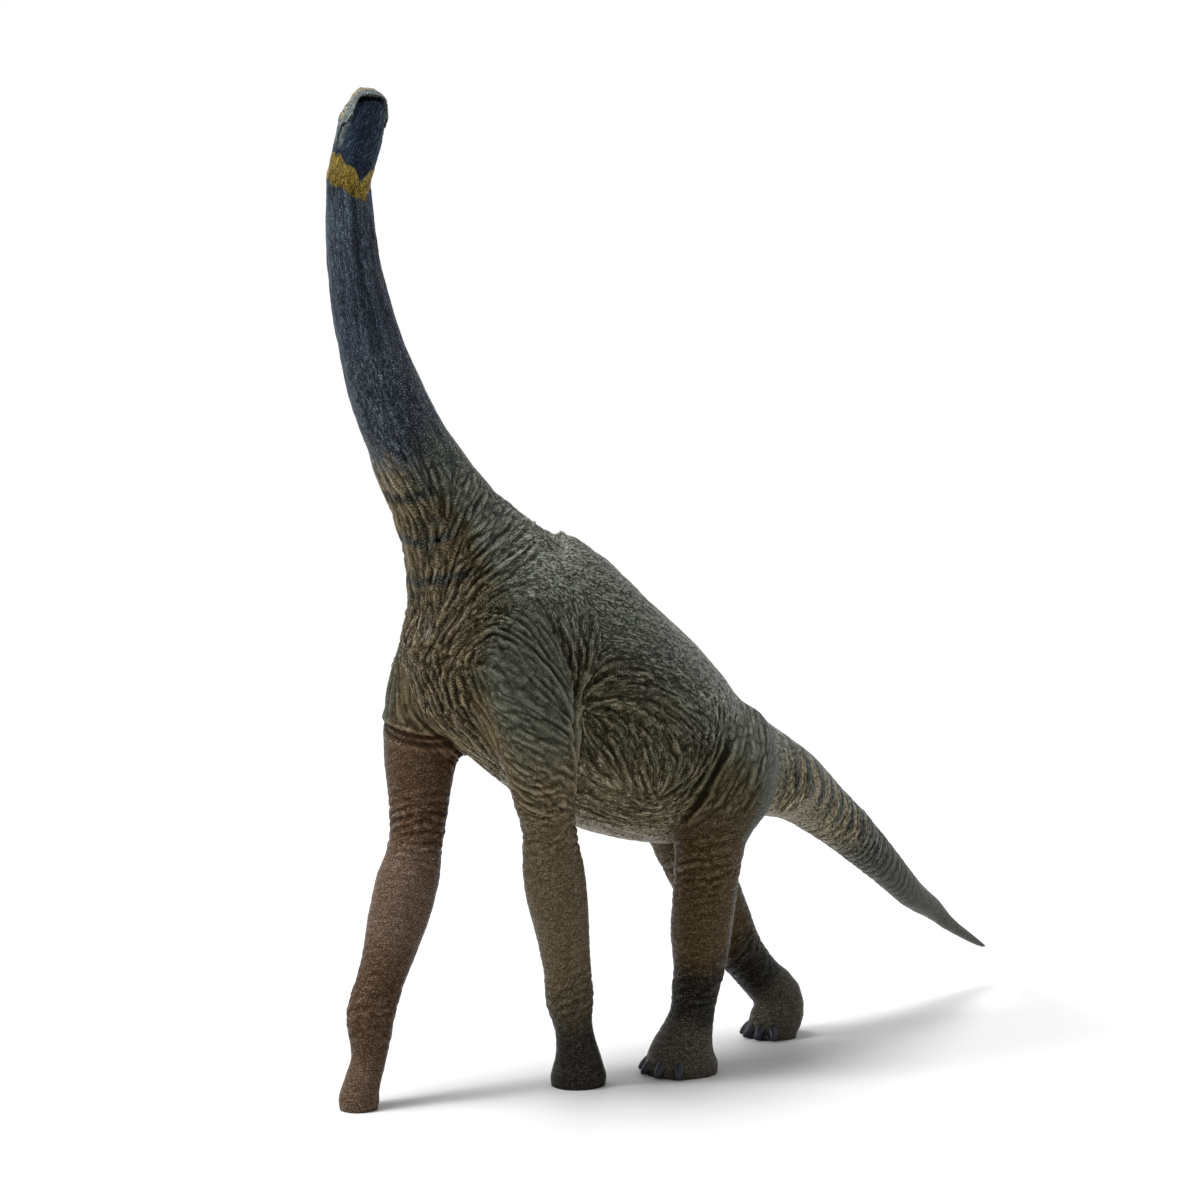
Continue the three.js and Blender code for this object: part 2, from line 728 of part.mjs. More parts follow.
const headFrame = body.frame(neckTop);
const headMatrix = new THREE.Matrix4()
  .makeBasis(headFrame.ahead, headFrame.left, headFrame.above)
  .setPosition(headFrame.centre);
const headInverse = headMatrix.clone().invert();

// The back of the head is the last of the body's axis, seen in the head's frame
const nape = solidOf(geometryOf(
  body.skin(body.shifted(headSeam, seamGap / 2), 1, headSides)
    .add(keyedPeg(body.matrix(headSeam), headPlugRadius, -headPlugLength, overrun, 0)),
).applyMatrix4(headInverse));
const headSkin = headLimb.skin(0, 1, headSides);
const mouth = sideSlab([
  [cheekFront, farBelow],
  [farAhead, farBelow],
  [farAhead, jawPin.z],
  [cheekFront, jawPin.z],
], headHalfWidth * 2);
const tongueSlot = sideSlab([
  [jawPin.x, jawPin.z - jawKnuckleRadius - jawCheekRadius * jawLean - seamGap * 2],
  [cheekFront + seamGap, jawPin.z - jawKnuckleRadius - jawCheekRadius * jawLean - seamGap * 2],
  [cheekFront + seamGap, jawPin.z + seamGap],
  [jawPin.x, jawPin.z + seamGap],
], slotHalfWidth)
  .add(roundBar(jawMatrix, jawKnuckleRadius + seamGap, -slotHalfWidth, slotHalfWidth, postSides));
const pinReach = headHalfWidth * jawPinReachShare;
const pinBore = roundBar(jawMatrix, jawPinRadius + pinClearance,
  -pinReach - pinClearance, headHalfWidth * 2, pinSides);
const skull = headSkin
  .subtract(mouth)
  .subtract(tongueSlot)
  .subtract(pinBore)
  .add(nape);

const jawTop = jawPin.z - seamGap;
const jawBack = cheekFront + seamGap;
const jawBlank = headSkin.intersect(sideSlab([
  [jawBack, jawTop],
  [jawBack - farBelow * jawLean, farBelow],
  [farAhead, farBelow],
  [farAhead, jawTop],
], headHalfWidth * 2));
const tongue = sideSlab([
  [jawPin.x, jawPin.z - jawKnuckleRadius],
  [jawBack + jawCheekRadius, jawPin.z - jawKnuckleRadius],
  [jawBack + jawCheekRadius, jawTop],
  [jawPin.x, jawTop],
], jawTongueHalfWidth)
  .add(roundBar(jawMatrix, jawKnuckleRadius, -jawTongueHalfWidth, jawTongueHalfWidth, postSides));
const closedJaw = jawBlank
  .add(tongue)
  .subtract(roundBar(jawMatrix, jawPinRadius + pinClearance, -headHalfWidth, headHalfWidth, pinSides));

const head = new THREE.Group();
head.applyMatrix4(headMatrix);
group.add(head);
addPiece('head', skull, paint.neck, head);
addPiece('jaw_pin', roundBar(jawMatrix, jawPinRadius, -pinReach, pinReach, pinSides), rodMaterial, head);

// The jaw hangs a little open at rest, turned about its pin
const jawHinge = new THREE.Group();
jawHinge.position.copy(jawPin);
jawHinge.rotation.y = THREE.MathUtils.degToRad(jawRestOpenDegrees);
const jawFrame = new THREE.Group();
jawFrame.position.copy(jawPin).negate();
jawHinge.add(jawFrame);
head.add(jawHinge);
addPiece('lower_jaw', closedJaw, paint.neck, jawFrame);

// The origin lies on the ground, under the middle of the whole figure's box
group.updateMatrixWorld(true);
const extent = new THREE.Box3().setFromObject(group, true);
const middle = extent.getCenter(new THREE.Vector3());
group.position.set(-middle.x, -middle.y, -extent.min.z);

export default group;
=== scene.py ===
"""Looks of a long-necked, high-shouldered toy dinosaur, cast in soft vinyl and painted by hand.

Metres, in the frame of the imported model: +X is the animal's forward, +Y its left, +Z up.
"""

import math

import bmesh
import bpy
import numpy as np
from mathutils import Matrix, Vector
from mathutils.bvhtree import BVHTree


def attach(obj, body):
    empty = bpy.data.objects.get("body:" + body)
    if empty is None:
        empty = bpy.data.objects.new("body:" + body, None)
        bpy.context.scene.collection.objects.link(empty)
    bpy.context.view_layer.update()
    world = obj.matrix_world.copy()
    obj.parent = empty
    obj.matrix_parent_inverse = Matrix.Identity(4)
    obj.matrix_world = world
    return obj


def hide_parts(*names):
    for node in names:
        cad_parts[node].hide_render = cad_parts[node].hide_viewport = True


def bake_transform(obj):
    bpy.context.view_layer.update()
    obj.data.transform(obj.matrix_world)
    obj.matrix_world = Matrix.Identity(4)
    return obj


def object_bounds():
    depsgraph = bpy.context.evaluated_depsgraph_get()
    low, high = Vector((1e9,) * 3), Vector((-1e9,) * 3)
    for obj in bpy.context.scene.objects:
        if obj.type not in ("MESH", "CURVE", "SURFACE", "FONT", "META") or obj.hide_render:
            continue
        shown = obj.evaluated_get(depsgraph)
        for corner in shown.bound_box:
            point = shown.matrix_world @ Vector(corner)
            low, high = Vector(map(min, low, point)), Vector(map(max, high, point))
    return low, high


bl_info = {
    "name": "Long-Necked Toy Dinosaur",
    "version": (1, 0, 0),
    "blender": (4, 5, 0),
    "location": "View3D > Sidebar > Dinosaur",
    "description": "Dresses the packed toy dinosaur in a folded, scaly, hand-painted vinyl hide",
    "category": "Add Mesh",
}

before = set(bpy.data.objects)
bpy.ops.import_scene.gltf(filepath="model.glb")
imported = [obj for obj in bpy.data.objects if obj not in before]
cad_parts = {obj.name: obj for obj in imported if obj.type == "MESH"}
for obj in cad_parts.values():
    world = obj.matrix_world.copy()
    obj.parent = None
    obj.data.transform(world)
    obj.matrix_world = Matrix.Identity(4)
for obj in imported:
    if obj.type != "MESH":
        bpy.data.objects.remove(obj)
cad_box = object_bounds()

MM = 0.001
LEFT, RIGHT = 1, -1
MIDLINE_Y = -0.927
# Points worked on at a time, which keeps the memory low
CHUNK = 20000

# Each moulding of the hide: the CAD node it stands for and a material name listed with it
MOULDINGS = {
    "torso_left_shell": "hide_back",
    "torso_right_shell": "hide_back",
    "front_left_leg": "hide_foreleg",
    "front_right_leg": "hide_foreleg",
    "hind_left_leg": "hide_leg",
    "hind_right_leg": "hide_leg",
    "neck_base": "hide_neck_base",
    "neck_upper": "hide_neck",
    "tail_base": "hide_tail",
    "tail_tip": "hide_tail",
}

# The body's axis from the tail's tip to the head: x, y, z and radius in mm, and the neck's
# turn to the left in degrees
BODY_AXIS = [
    (-181.6, -26.9, 17, 0.6, 0), (-173.9, -25.9, 20.2, 1.6, 0), (-151, -22, 31, 3.1, 0),
    (-137.7, -19.9, 39.2, 4.7, 0), (-120.1, -16, 47.5, 6.1, 0), (-100.6, -11.8, 60.2, 7.4, 0),
    (-72.2, -6.9, 78.7, 9.9, 0), (-56.2, -4.8, 88, 11.1, 0), (-37.3, -3, 99.2, 14, 0),
    (-19.6, -0.9, 105.4, 16.9, 0), (-1.6, -0.9, 112, 21.5, 0), (20.5, -0.9, 119.2, 30, 0),
    (45.2, -0.9, 131, 37, 0), (68.6, -0.9, 143, 39, 0), (90.7, -0.9, 155.9, 37, 0),
    (110.2, -0.9, 168.2, 32, 0), (120.6, -0.9, 184, 24, 0), (131, -0.9, 201.7, 17.8, 0),
    (144.5, -0.9, 221.2, 14.1, 6.4), (154.9, -0.4, 238.9, 12.4, 16), (162.9, 0.1, 258.3, 10.7, 29),
    (168.9, 1.1, 279.6, 8.9, 45), (171.8, 2.1, 302, 7.5, 61), (172.6, 3.1, 308.5, 7.2, 72),
    (172.8, 5.1, 312, 7.4, 76), (173.6, 8.8, 316.8, 7.4, 80), (176.4, 22.4, 333.8, 5, 80),
]
# Each leg's axis from its root down to the sole: x, y, z and radius
LEG_AXES = {
    "front_right_leg": [
        (114.2, -17.9, 174, 7), (116.9, -19.1, 160.5, 14.6), (121.4, -20.6, 142.5, 16.7),
        (127.2, -20, 123, 13.9), (129.7, -19.4, 102, 10.6), (131.7, -19.1, 85.5, 9.4),
        (134.9, -18.8, 73.5, 10.9), (140.3, -18.2, 58.5, 10), (145.9, -17.3, 45, 8.3),
        (151.5, -16.4, 32.3, 8), (153.3, -15.2, 16.5, 6), (156, -14.9, 8.3, 6.1),
        (157.4, -14.9, 0, 6.2),
    ],
    "front_left_leg": [
        (115.8, 12.1, 174, 7), (114.4, 16.3, 160.5, 15.2), (112.4, 20.5, 141, 16.3),
        (110, 21.9, 120, 12.5), (106.3, 20.5, 105, 10.8), (102.2, 18.4, 93, 9.1),
        (98.4, 15.6, 81, 10.4), (95.4, 14.2, 69, 10.6), (91.3, 12.1, 55.5, 9.2),
        (87.2, 10, 41.3, 8.2), (85.2, 8.6, 31.5, 8.4), (82.5, 7.2, 21.8, 6.5),
        (79.4, 5.8, 11.3, 7.7), (78.4, 5.1, 0, 9.4),
    ],
    "hind_left_leg": [
        (12.9, 14.1, 133.1, 8), (13.4, 15.3, 125.4, 15.5), (17.6, 18.3, 113.9, 19.5),
        (23.8, 21, 102.4, 19), (29.6, 21.9, 88.3, 14), (30.6, 21.3, 76.8, 12),
        (31.1, 19.8, 64, 11.5), (31.6, 18.3, 52.5, 11.3), (31.1, 17.1, 41, 10),
        (32.4, 15.9, 30.1, 8.5), (33.7, 15.3, 21.1, 8), (35.3, 14.7, 13.4, 9.8),
        (36.3, 14.1, 7, 12), (36.3, 14.1, 0, 12.5),
    ],
    "hind_right_leg": [
        (10.3, -12.9, 133.1, 8), (9.6, -15.9, 124.2, 15.5), (8.5, -18.9, 111.4, 20),
        (6.7, -19.4, 94.7, 18), (3.1, -18.9, 78.1, 14.7), (-3, -16.9, 61.4, 12),
        (-9.1, -14.4, 48.6, 10.4), (-16.3, -12.4, 34.6, 9), (-26.4, -11.4, 23, 8.6),
        (-33.6, -10.4, 16, 9.5), (-34.3, -9.4, 9.6, 10.5), (-31.8, -8.9, 0, 9),
    ],
}

# Families of folds on the left side, as two bounding lines in mm, how many folds lie between
# them, their depth and their half width. The right side has their mirror images.
FOLD_FAMILIES = [
    # Neck base to withers
    ([(139.6, 9.3, 177.7), (137.6, 12.2, 181.7), (129.7, 17.3, 189.7), (113.9, 13.3, 201.8)],
     [(141.9, 11.5, 157.0), (138.1, 14.2, 163.7), (127.1, 18.8, 176.7), (113.3, 19.8, 184.3),
      (102.3, 16.7, 189.7)],
     10, 0.62, 0.75),
    # Arcs over the shoulder, running into the armpit
    ([(141.0, 10.8, 152.0), (135.6, 15.8, 166.3), (125.3, 21.4, 168.7), (117.3, 25.2, 163.7),
      (110.2, 30.3, 152.6), (102.1, 31.4, 141.7)],
     [(131, 19, 155), (125.8, 24.3, 159.3), (120.1, 28.9, 154.4), (110.3, 32.6, 145.6),
      (103.0, 32.5, 135.7)],
     10, 0.5, 0.65),
    # Across the upper arm, back into the armpit
    ([(123.7, 28.7, 150.7), (114.4, 33.0, 143.4), (105.4, 33.5, 135.1), (102.4, 32.3, 127.2)],
     [(120.9, 32.3, 134.9), (111.8, 34.5, 130.3), (103.7, 32.8, 124.3), (100.5, 30.4, 116.2)],
     9, 0.42, 0.6),
    # Down the flank into the armpit
    ([(108.9, 25.8, 168.7), (103.4, 28.7, 156.2), (100.3, 29.6, 145.3)],
     [(96.1, 29.8, 160.5), (95.5, 30.6, 152.4), (98.1, 30.1, 142.9)],
     5, 0.5, 0.7),
    # Out of the armpit along the ribs
    ([(98.2, 29.7, 138.1), (94.1, 31.2, 143.5), (84.1, 33.0, 149.5)],
     [(93.7, 30.6, 134.6), (87.5, 31.0, 128.0), (80.2, 30.3, 118.7)],
     4, 0.35, 0.8),
    # Chest, in front of the left arm
    ([(142.5, 10.6, 156.3), (141.0, 9.5, 149.0), (138.4, 9.9, 141.9), (135.3, 10.1, 134.5)],
     [(144.2, -2.4, 149.1), (141.5, -1.7, 141.6), (138.5, 1.1, 134.2), (132.7, 0.4, 128.6)],
     5, 0.45, 0.6),
    # Under the chest, between the arms
    ([(135.3, 10.1, 134.5), (125.1, 10.8, 126.7), (110.9, 5, 114.0)],
     [(132.7, 0.4, 128.6), (122.1, 0.1, 121.1), (108, 0, 111)],
     4, 0.4, 0.6),
    # Flank to thigh
    ([(29.9, 26.4, 142.0), (30.3, 29.6, 131.9), (32.9, 29.8, 120.5), (38.7, 29.1, 110.6),
      (46.6, 24.0, 99.6)],
     [(43.5, 31.8, 126.2), (44.3, 30.0, 114.5), (50.2, 27.5, 106.5), (57.8, 25.3, 101.4)],
     7, 0.5, 0.75),
    # Along the lower flank
    ([(93.6, 23.4, 114.4), (87.4, 21.7, 107.4), (74.2, 20.8, 100.3), (58.0, 20.8, 96.5),
      (46.9, 22.2, 96.6)],
     [(87.1, 15.1, 101.4), (78.7, 13.1, 96.1), (63.9, 13.4, 91.3), (50.4, 15.3, 89.8),
      (44.0, 19.9, 90.5)],
     6, 0.28, 0.7),
    # Across the front of the upper arm
    ([(121.3, 18.2, 118.2), (117.6, 28.4, 111.9), (108.9, 33.5, 113.5)],
     [(114.7, 14.4, 104.0), (111.8, 26.3, 98.0), (102.6, 29.9, 100.4)],
     6, 0.3, 0.6),
]

# How the folds and ripples run over the left side, in mm: front of the neck's foot, the fan up
# to the withers, arcs round the shoulder, armpit, flank, thigh, back, chest, belly and tail
FLOW_GUIDES = [
    [(155, 5, 214), (152, 6, 209), (148, 7, 204)],
    [(153, 5, 210), (146, 7, 197), (143, 5, 185)],
    [(147, 12, 213), (142, 11, 197), (141, 9, 185)],
    [(129, 14, 210), (134, 16, 203), (139, 14, 194), (140, 10, 185)],
    [(142, -1, 175), (143, 2, 166), (144, 7, 159)],
    [(142, 11, 160), (137, 13, 181), (131, 17, 193), (112, 11, 203)],
    [(141, 12, 160), (133, 16, 177), (124, 18, 188), (103, 11, 198)],
    [(141, 13, 159), (131, 18, 171), (121, 20, 180), (105, 18, 188)],
    [(139, 14, 157), (133, 18, 168), (123, 20, 177), (111, 22, 179)],
    [(102, 14, 194), (91, 13, 190), (80, 11, 184)],
    [(101, 19, 186), (95, 23, 181), (86, 25, 179)],
    [(143, 10, 156), (134, 17, 168), (123, 21, 174), (112, 24, 172), (105, 28, 161),
     (100, 30, 149), (98, 30, 139)],
    [(140, 12, 152), (133, 19, 164), (123, 22, 167), (116, 26, 162), (109, 30, 153),
     (104, 32, 142)],
    [(134, 18, 157), (127, 22, 162), (121, 28, 157), (115, 32, 148), (108, 34, 137)],
    [(130, 21, 156), (125, 26, 156), (120, 31, 148), (112, 34, 140), (105, 33, 134)],
    [(132, 17, 144), (129, 19, 136), (127, 26, 133)],
    [(125, 28, 148), (118, 33, 142), (108, 34, 135)],
    [(127, 27, 139), (120, 32, 135), (108, 34, 129)],
    [(125, 27, 130), (120, 32, 127), (109, 34, 123)],
    [(122, 27, 121), (117, 32, 118), (107, 33, 113)],
    [(119, 24, 111), (114, 30, 109), (106, 32, 105)],
    [(109, 25, 170), (104, 28, 158), (101, 30, 149)],
    [(97, 27, 172), (98, 30, 160), (99, 30, 147)],
    [(92, 30, 164), (97, 30, 153), (98, 30, 143)],
    [(82, 33, 151), (91, 32, 147), (98, 30, 142)],
    [(76, 34, 142), (88, 33, 141), (95, 30, 139)],
    [(98, 30, 137), (100, 30, 128), (95, 24, 117)],
    [(93, 31, 136), (84, 33, 138), (73, 34, 135), (59, 34, 132), (47, 32, 126), (39, 30, 116),
     (40, 28, 107), (48, 25, 101), (59, 21, 97)],
    [(94, 30, 130), (85, 30, 121), (78, 29, 114), (70, 26, 106)],
    [(88, 32, 131), (80, 31, 123), (74, 29, 114), (67, 27, 107)],
    [(78, 34, 134), (71, 33, 126), (66, 30, 117), (64, 26, 109)],
    [(66, 34, 131), (58, 33, 124), (54, 31, 114), (56, 26, 105)],
    [(33, 26, 146), (31, 29, 136), (30, 30, 126), (34, 30, 116), (40, 29, 107), (45, 24, 99)],
    [(18, 26, 129), (26, 32, 120), (33, 33, 112), (38, 32, 105)],
    [(11, 23, 131), (16, 32, 121), (23, 36, 111), (30, 36, 100)],
    [(92, 26, 177), (81, 28, 173), (68, 27, 170)],
    [(88, 30, 164), (77, 32, 160), (65, 32, 157)],
    [(81, 33, 152), (69, 34, 149), (56, 34, 144)],
    [(67, 30, 164), (56, 30, 158), (43, 26, 154)],
    [(67, 35, 145), (56, 34, 140), (44, 33, 135)],
    [(52, 32, 150), (41, 31, 144), (32, 29, 137)],
    [(142, 10, 156), (145, 3, 151), (140, 1, 143)],
    [(141, 11, 152), (142, 4, 144), (137, 1, 136)],
    [(140, 11, 151), (136, 10, 136), (128, 8, 128), (114, 2, 116)],
    [(132, 6, 130), (123, 6, 123), (110, 3, 113)],
    [(136, 14, 146), (132, 14, 136), (124, 12, 127)],
    [(92, 22, 112), (82, 23, 106), (69, 22, 101), (53, 22, 97)],
    [(88, 18, 105), (76, 19, 99), (63, 19, 95)],
    [(5, 16, 124), (7, 18, 112), (10, 16, 100)],
    [(-23, 13, 114), (-22, 15, 104), (-20, 11, 95)],
]

# Single creases: points, depth and half width. Wide ones are hollows between muscles, and
# a negative depth raises a ridge.
CREASES = [
    ([(98.7, 29.8, 143.5), (101.3, 31.7, 136.0), (101.0, 31.2, 126.4), (98.2, 28, 114.4),
      (98.4, 26.8, 104.3)], 1.3, 1.5),
    ([(28.9, 31.3, 122.4), (32, 31.5, 117), (36.4, 31.4, 111.4), (41.6, 28.1, 100.3),
      (44.0, 22.7, 93.2)], 1.2, 1.2),
    ([(93.4, 30.3, 132.6), (90.5, 29.5, 126), (87.7, 28.1, 118.9)], 1.3, 3.2),
    ([(77.6, 33.2, 129.1), (75, 31, 120), (72.1, 28.2, 110.5)], 1.2, 3.0),
    ([(88.9, 31.8, 133.8), (83.2, 30.7, 122.6), (76.8, 29.0, 113.9),
      (72.1, 26.6, 107.6)], -0.45, 0.8),
    ([(91.3, 31.5, 138.3), (84.2, 33.1, 136.8), (75.3, 34.2, 133.5), (66.0, 33.9, 128.0),
      (54.8, 33.3, 126.9)], -0.5, 1.6),
    ([(60, 31, 118), (63, 29, 110), (60, 27, 104)], 0.7, 2.2),
    ([(105, 13, 198), (98, 12, 195), (91, 10, 194)], -0.9, 3.2),
]

# The edge of the chest over the right foreleg, which steps back under it
CHEST_EDGE = [
    (139, -26, 131), (141.9, -23.5, 128.5), (141.9, -16.5, 125.7), (139, -11.6, 124.5),
    (134.7, -8.8, 123.8),
    (129.5, -7.4, 123.6), (124.2, -7.2, 123.1),
]

# The head's own frame: ahead to the snout, left, and up to the crown
HEAD_PLACE = np.array([173.6, 8.8, 316.75])
HEAD_AXES = np.array([
    [0.1284, 0.6170, 0.7764], [-0.98252, 0.18558, 0.01497], [-0.13484, -0.76475, 0.63004]])
# The seam between neck and head: a point on it, and the way across it
HEAD_SEAM = np.array([172.78, 4.8, 311.65])
HEAD_SEAM_WAY = np.array([0.0838, 0.5823, 0.8086])
EYE_PLACE = (14.0, 6.5, 1.0)
# The head's half width at places ahead
HEAD_WIDTHS = ((0, 8, 11, 14, 17, 20, 21.4, 22), (7.4, 7.3, 6.9, 6.2, 5.7, 5.2, 3.9, 1.8))
# The line from the corner of the mouth back over the cheek, as ahead and up
CHEEK_LINE = [(10.6, -2.0), (9.1, -1.1), (7.0, -0.9), (4.6, -0.6), (3.0, -1.2)]
# The collar's edges round the neck: degrees from the middle of the throat towards the
# animal's left, and height above the table in mm
COLLAR_TOP = [
    (-180, 317), (-84, 316), (-55, 314.8), (-29, 311.5), (-10, 310.4), (9, 306.5), (24, 310.2),
    (60, 313), (180, 317),
]
COLLAR_FOOT = [
    (-180, 310), (-84, 308.3), (-56, 305.6), (-27, 304), (17, 300.8), (46, 305.1), (90, 308),
    (180, 310),
]
# Heights of the dark bars across the throat
THROAT_BARS = (205.5, 191.3, 177.6)
# How far down each leg its knee and its ankle are
FORE_JOINTS, HIND_JOINTS = (82, 146), (62, 104)

# Hind feet: the middle of the sole, the foot's half width and reach, and its side
HIND_FEET = {"left": (36.3, 14.1, 11.9, 14, LEFT), "right": (-31.8, -8.9, 9, 10.4, RIGHT)}
CLAW_ANGLES = (-46, -16, 14, 44)
CLAW_HALF_SIZES = (5.0, 2.6, 3.1)
# How far a moulding's rim turns in under the skin
RIM_DEPTH = 0.35
# Where along its way each point of the ripples samples the noise, as a share of their reach
RIPPLE_STEPS = (-1, -0.6, -0.2, 0.2, 0.6, 1)
EYE_RADIUS, IRIS_REACH = 1.15, 1.1
# The rings of colour on the eye, from its middle out to the iris's reach
EYE_RINGS = (
    (0.28, "#0b0b0c"), (0.36, "#b8a860"), (0.52, "#c9be8e"), (0.64, "#7c6c34"), (0.72, "#101014"))

# The photograph's side in pixels, and its camera: focal length and shift in pixels, place in
# metres and the way it looks
PHOTO_SIDE, FOCAL_LENGTH, SHIFT = 1200, 1950, 15
CAMERA_PLACE = (0.50918, 0.5491, 0.167)
CAMERA_WAY = (-0.62932, -0.777146, 0)
# Strength of the room's light, and the softboxes: way to the lamp, spread in degrees and power
ROOM_LIGHT = 0.36
SOFTBOXES = (
    ("softbox overhead", (0.3, -0.15, 1), 26, 2.3),
    ("softbox side", (0.95, -0.25, 0.75), 12, 1.2),
)


# ---------------------------------------------------------------- settings

def linear(code):
    """A linear colour from an sRGB hex code."""
    channels = [int(code[i:i + 2], 16) / 255 for i in (1, 3, 5)]
    return tuple(c / 12.92 if c <= 0.04045 else ((c + 0.055) / 1.055) ** 2.4 for c in channels)


def length(name, description, default):
    return bpy.props.FloatProperty(
        name=name, description=description, default=default, unit="LENGTH", precision=5)


def colour(name, description, code):
    return bpy.props.FloatVectorProperty(
        name=name, description=description, default=linear(code), subtype="COLOR", min=0, max=1)


class HideSizes(bpy.types.PropertyGroup):
    weave: length("Mesh size", "Width of a face before the last subdivision", 0.00114)
    head_weave: length("Head mesh size", "Width of a face on the head", 0.0004)
    scale: length("Scale size", "Width of a scale on the body", 0.0008)
    neck_scale: length("Neck scale size", "Width of a scale on the neck", 0.0008)
    stud_spacing: length("Stud spacing", "Distance between the studs of the spine", 0.0075)
    stud_rise: length("Stud height", "How far a spine stud stands out", 0.0013)
    fold_share: bpy.props.FloatProperty(
        name="Fold depth", description="Share of the folds' full depth", default=1.4,
        subtype="FACTOR", min=0, max=2)


class PaintColours(bpy.types.PropertyGroup):
    back: colour("Back", "Green-grey of the back", "#454a3f")
    back_light: colour("Withers", "Paler green-grey along the spine", "#575b50")
    flank: colour("Flank", "Olive brown of the ribs", "#433d28")
    # Brown painted shade, laid in cloudy patches low on the sides
    umber_shade: colour("Umber wash", "Brown wash in the hollows", "#2f2718")
    belly: colour("Belly", "Beige of the belly", "#6b614a")
    chest: colour("Chest", "Dull beige of the chest and the neck's foot", "#4c412a")
    neck: colour("Neck", "Navy of the neck and head", "#06101f")
    head_light: colour("Head, dry-brushed", "Blue-grey on the head's scales", "#27374a")
    neck_coat: colour("Neck, clouded", "Grey-blue clouded over the neck", "#64727f")
    cheek: colour("Snout and cheeks", "Pale grey of the snout and cheeks", "#7c8482")
    ridge: colour("Snout ridge", "Pale yellow along the edge of the snout", "#b3a778")
    band: colour("Collar", "Ochre collar behind the head", "#8a7430")
    foreleg: colour("Forelegs", "Brown of the forelegs", "#5c5038")
    russet: colour("Right foreleg", "Red-brown of the right foreleg", "#523c28")
    russet_light: colour(
        "Right foreleg, worn", "Pale brown on the right foreleg's wrist and foot", "#6e5a4b")
    hindleg: colour("Hind legs", "Brown of the hind legs", "#4c3b1e")
    foot: colour("Feet", "Dark brown of the feet", "#1b1811")
    hindfoot: colour("Hind feet", "Brown-grey of the hind feet", "#474235")
    tail: colour("Tail", "Beige of the tail", "#70674f")
    stripe: colour("Tail stripes", "Dark stripes across the tail", "#242824")
    tail_end: colour("Tail's end", "Dark grey-green of the tail's end", "#32362e")
    shin: colour("Hind shins", "Near-black brown of the hind shins", "#0c0a07")
    claw: colour("Claws", "Blue-black of the claws", "#0b0c12")
    claw_light: colour("Claws, worn", "Blue-grey on the claws' ridges", "#262932")
    eye: colour("Cheek spots", "Yellow of the spots behind the eye", "#c9b25a")


class StageSettings(bpy.types.PropertyGroup):
    floor: colour("Floor", "Pale tabletop", "#f2f2f2")
    floor_size: length("Floor size", "Side of the tabletop", 6.0)


# ---------------------------------------------------------------- sums

def ramp(low, high, value):
    """0 below low, 1 above high, and smooth between them."""
    share = np.clip((value - low) / (high - low), 0, 1)
    return share * share * (3 - 2 * share)


LATTICE = np.random.RandomState(5).rand(64 ** 3).astype(np.float32)


def noise(points, size, seed):
    """Smooth noise from -1 to 1 whose lumps are about size across."""
    scaled = points / size
    cell = np.floor(scaled)
    part = scaled - cell
    part = part * part * (3 - 2 * part)
    cell = cell.astype(np.int64) + (seed * 7, seed * 13, seed * 29)
    low, high = cell & 63, (cell + 1) & 63
    xs = (low[:, 0] * 4096, high[:, 0] * 4096)
    ys = (low[:, 1] * 64, high[:, 1] * 64)
    zs = (low[:, 2], high[:, 2])
    rows = []
    for x in xs:
        planes = []
        for y in ys:
            first, second = LATTICE[x + y + zs[0]], LATTICE[x + y + zs[1]]
            planes.append(first + (second - first) * part[:, 2])
        rows.append(planes[0] + (planes[1] - planes[0]) * part[:, 1])
    return (rows[0] + (rows[1] - rows[0]) * part[:, 0]) * 2 - 1


def clouds(points, size, seed):
    return (noise(points, size, seed) + noise(points, size / 2.1, seed + 1) / 2) / 1.5


def spline(points, count):
    """A smooth line through the points, as count evenly numbered rows."""
    points = np.array(points, float)
    ends = np.vstack([2 * points[0] - points[1], points, 2 * points[-1] - points[-2]])
    place = np.linspace(0, len(points) - 1, count)
    first = np.minimum(place.astype(int), len(points) - 2)
    t = (place - first)[:, None]
    a, b, c, d = (ends[first + i] for i in range(4))
    return 0.5 * (
        2 * b + (c - a) * t + (2 * a - 5 * b + 4 * c - d) * t ** 2
        + (3 * b - a - 3 * c + d) * t ** 3)


class Axis:
    """A limb's middle line, which gives each point of its skin a place along and around it."""

    def __init__(self, stations, count):
        rows = spline(stations, count)
        self.centres = rows[:, :3]
        self.radii = rows[:, 3]
        self.turns = np.radians(rows[:, 4]) if rows.shape[1] > 4 else np.zeros(count)
        steps = np.linalg.norm(np.diff(self.centres, axis=0), axis=1)
        self.along = np.concatenate([[0], np.cumsum(steps)])
        ahead = np.gradient(self.centres, axis=0)
        self.ahead = ahead / np.linalg.norm(ahead, axis=1)[:, None]
        left = np.stack([-np.sin(self.turns), np.cos(self.turns), np.zeros(count)], 1)
        left -= (left * self.ahead).sum(1)[:, None] * self.ahead
        self.left = left / np.linalg.norm(left, axis=1)[:, None]
        self.up = np.cross(self.ahead, self.left)

    def station(self, along):
        """The number of the station at a place along the line."""
        return np.searchsorted(self.along, along).clip(0, len(self.along) - 1)

    def places(self, points):
        """Along in mm, left and up offsets in mm, and distance as a share of the radius."""
        rows = []
        for start in range(0, len(points), CHUNK):
            part = points[start:start + CHUNK]
            near = ((self.centres ** 2).sum(1) - 2 * part @ self.centres.T).argmin(1)
            offset = part - self.centres[near]
            rows.append(np.stack([
                self.along[near] + (offset * self.ahead[near]).sum(1),
                (offset * self.left[near]).sum(1),
                (offset * self.up[near]).sum(1),
                np.linalg.norm(offset, axis=1) / self.radii[near],
            ], 1))
        return np.vstack(rows)


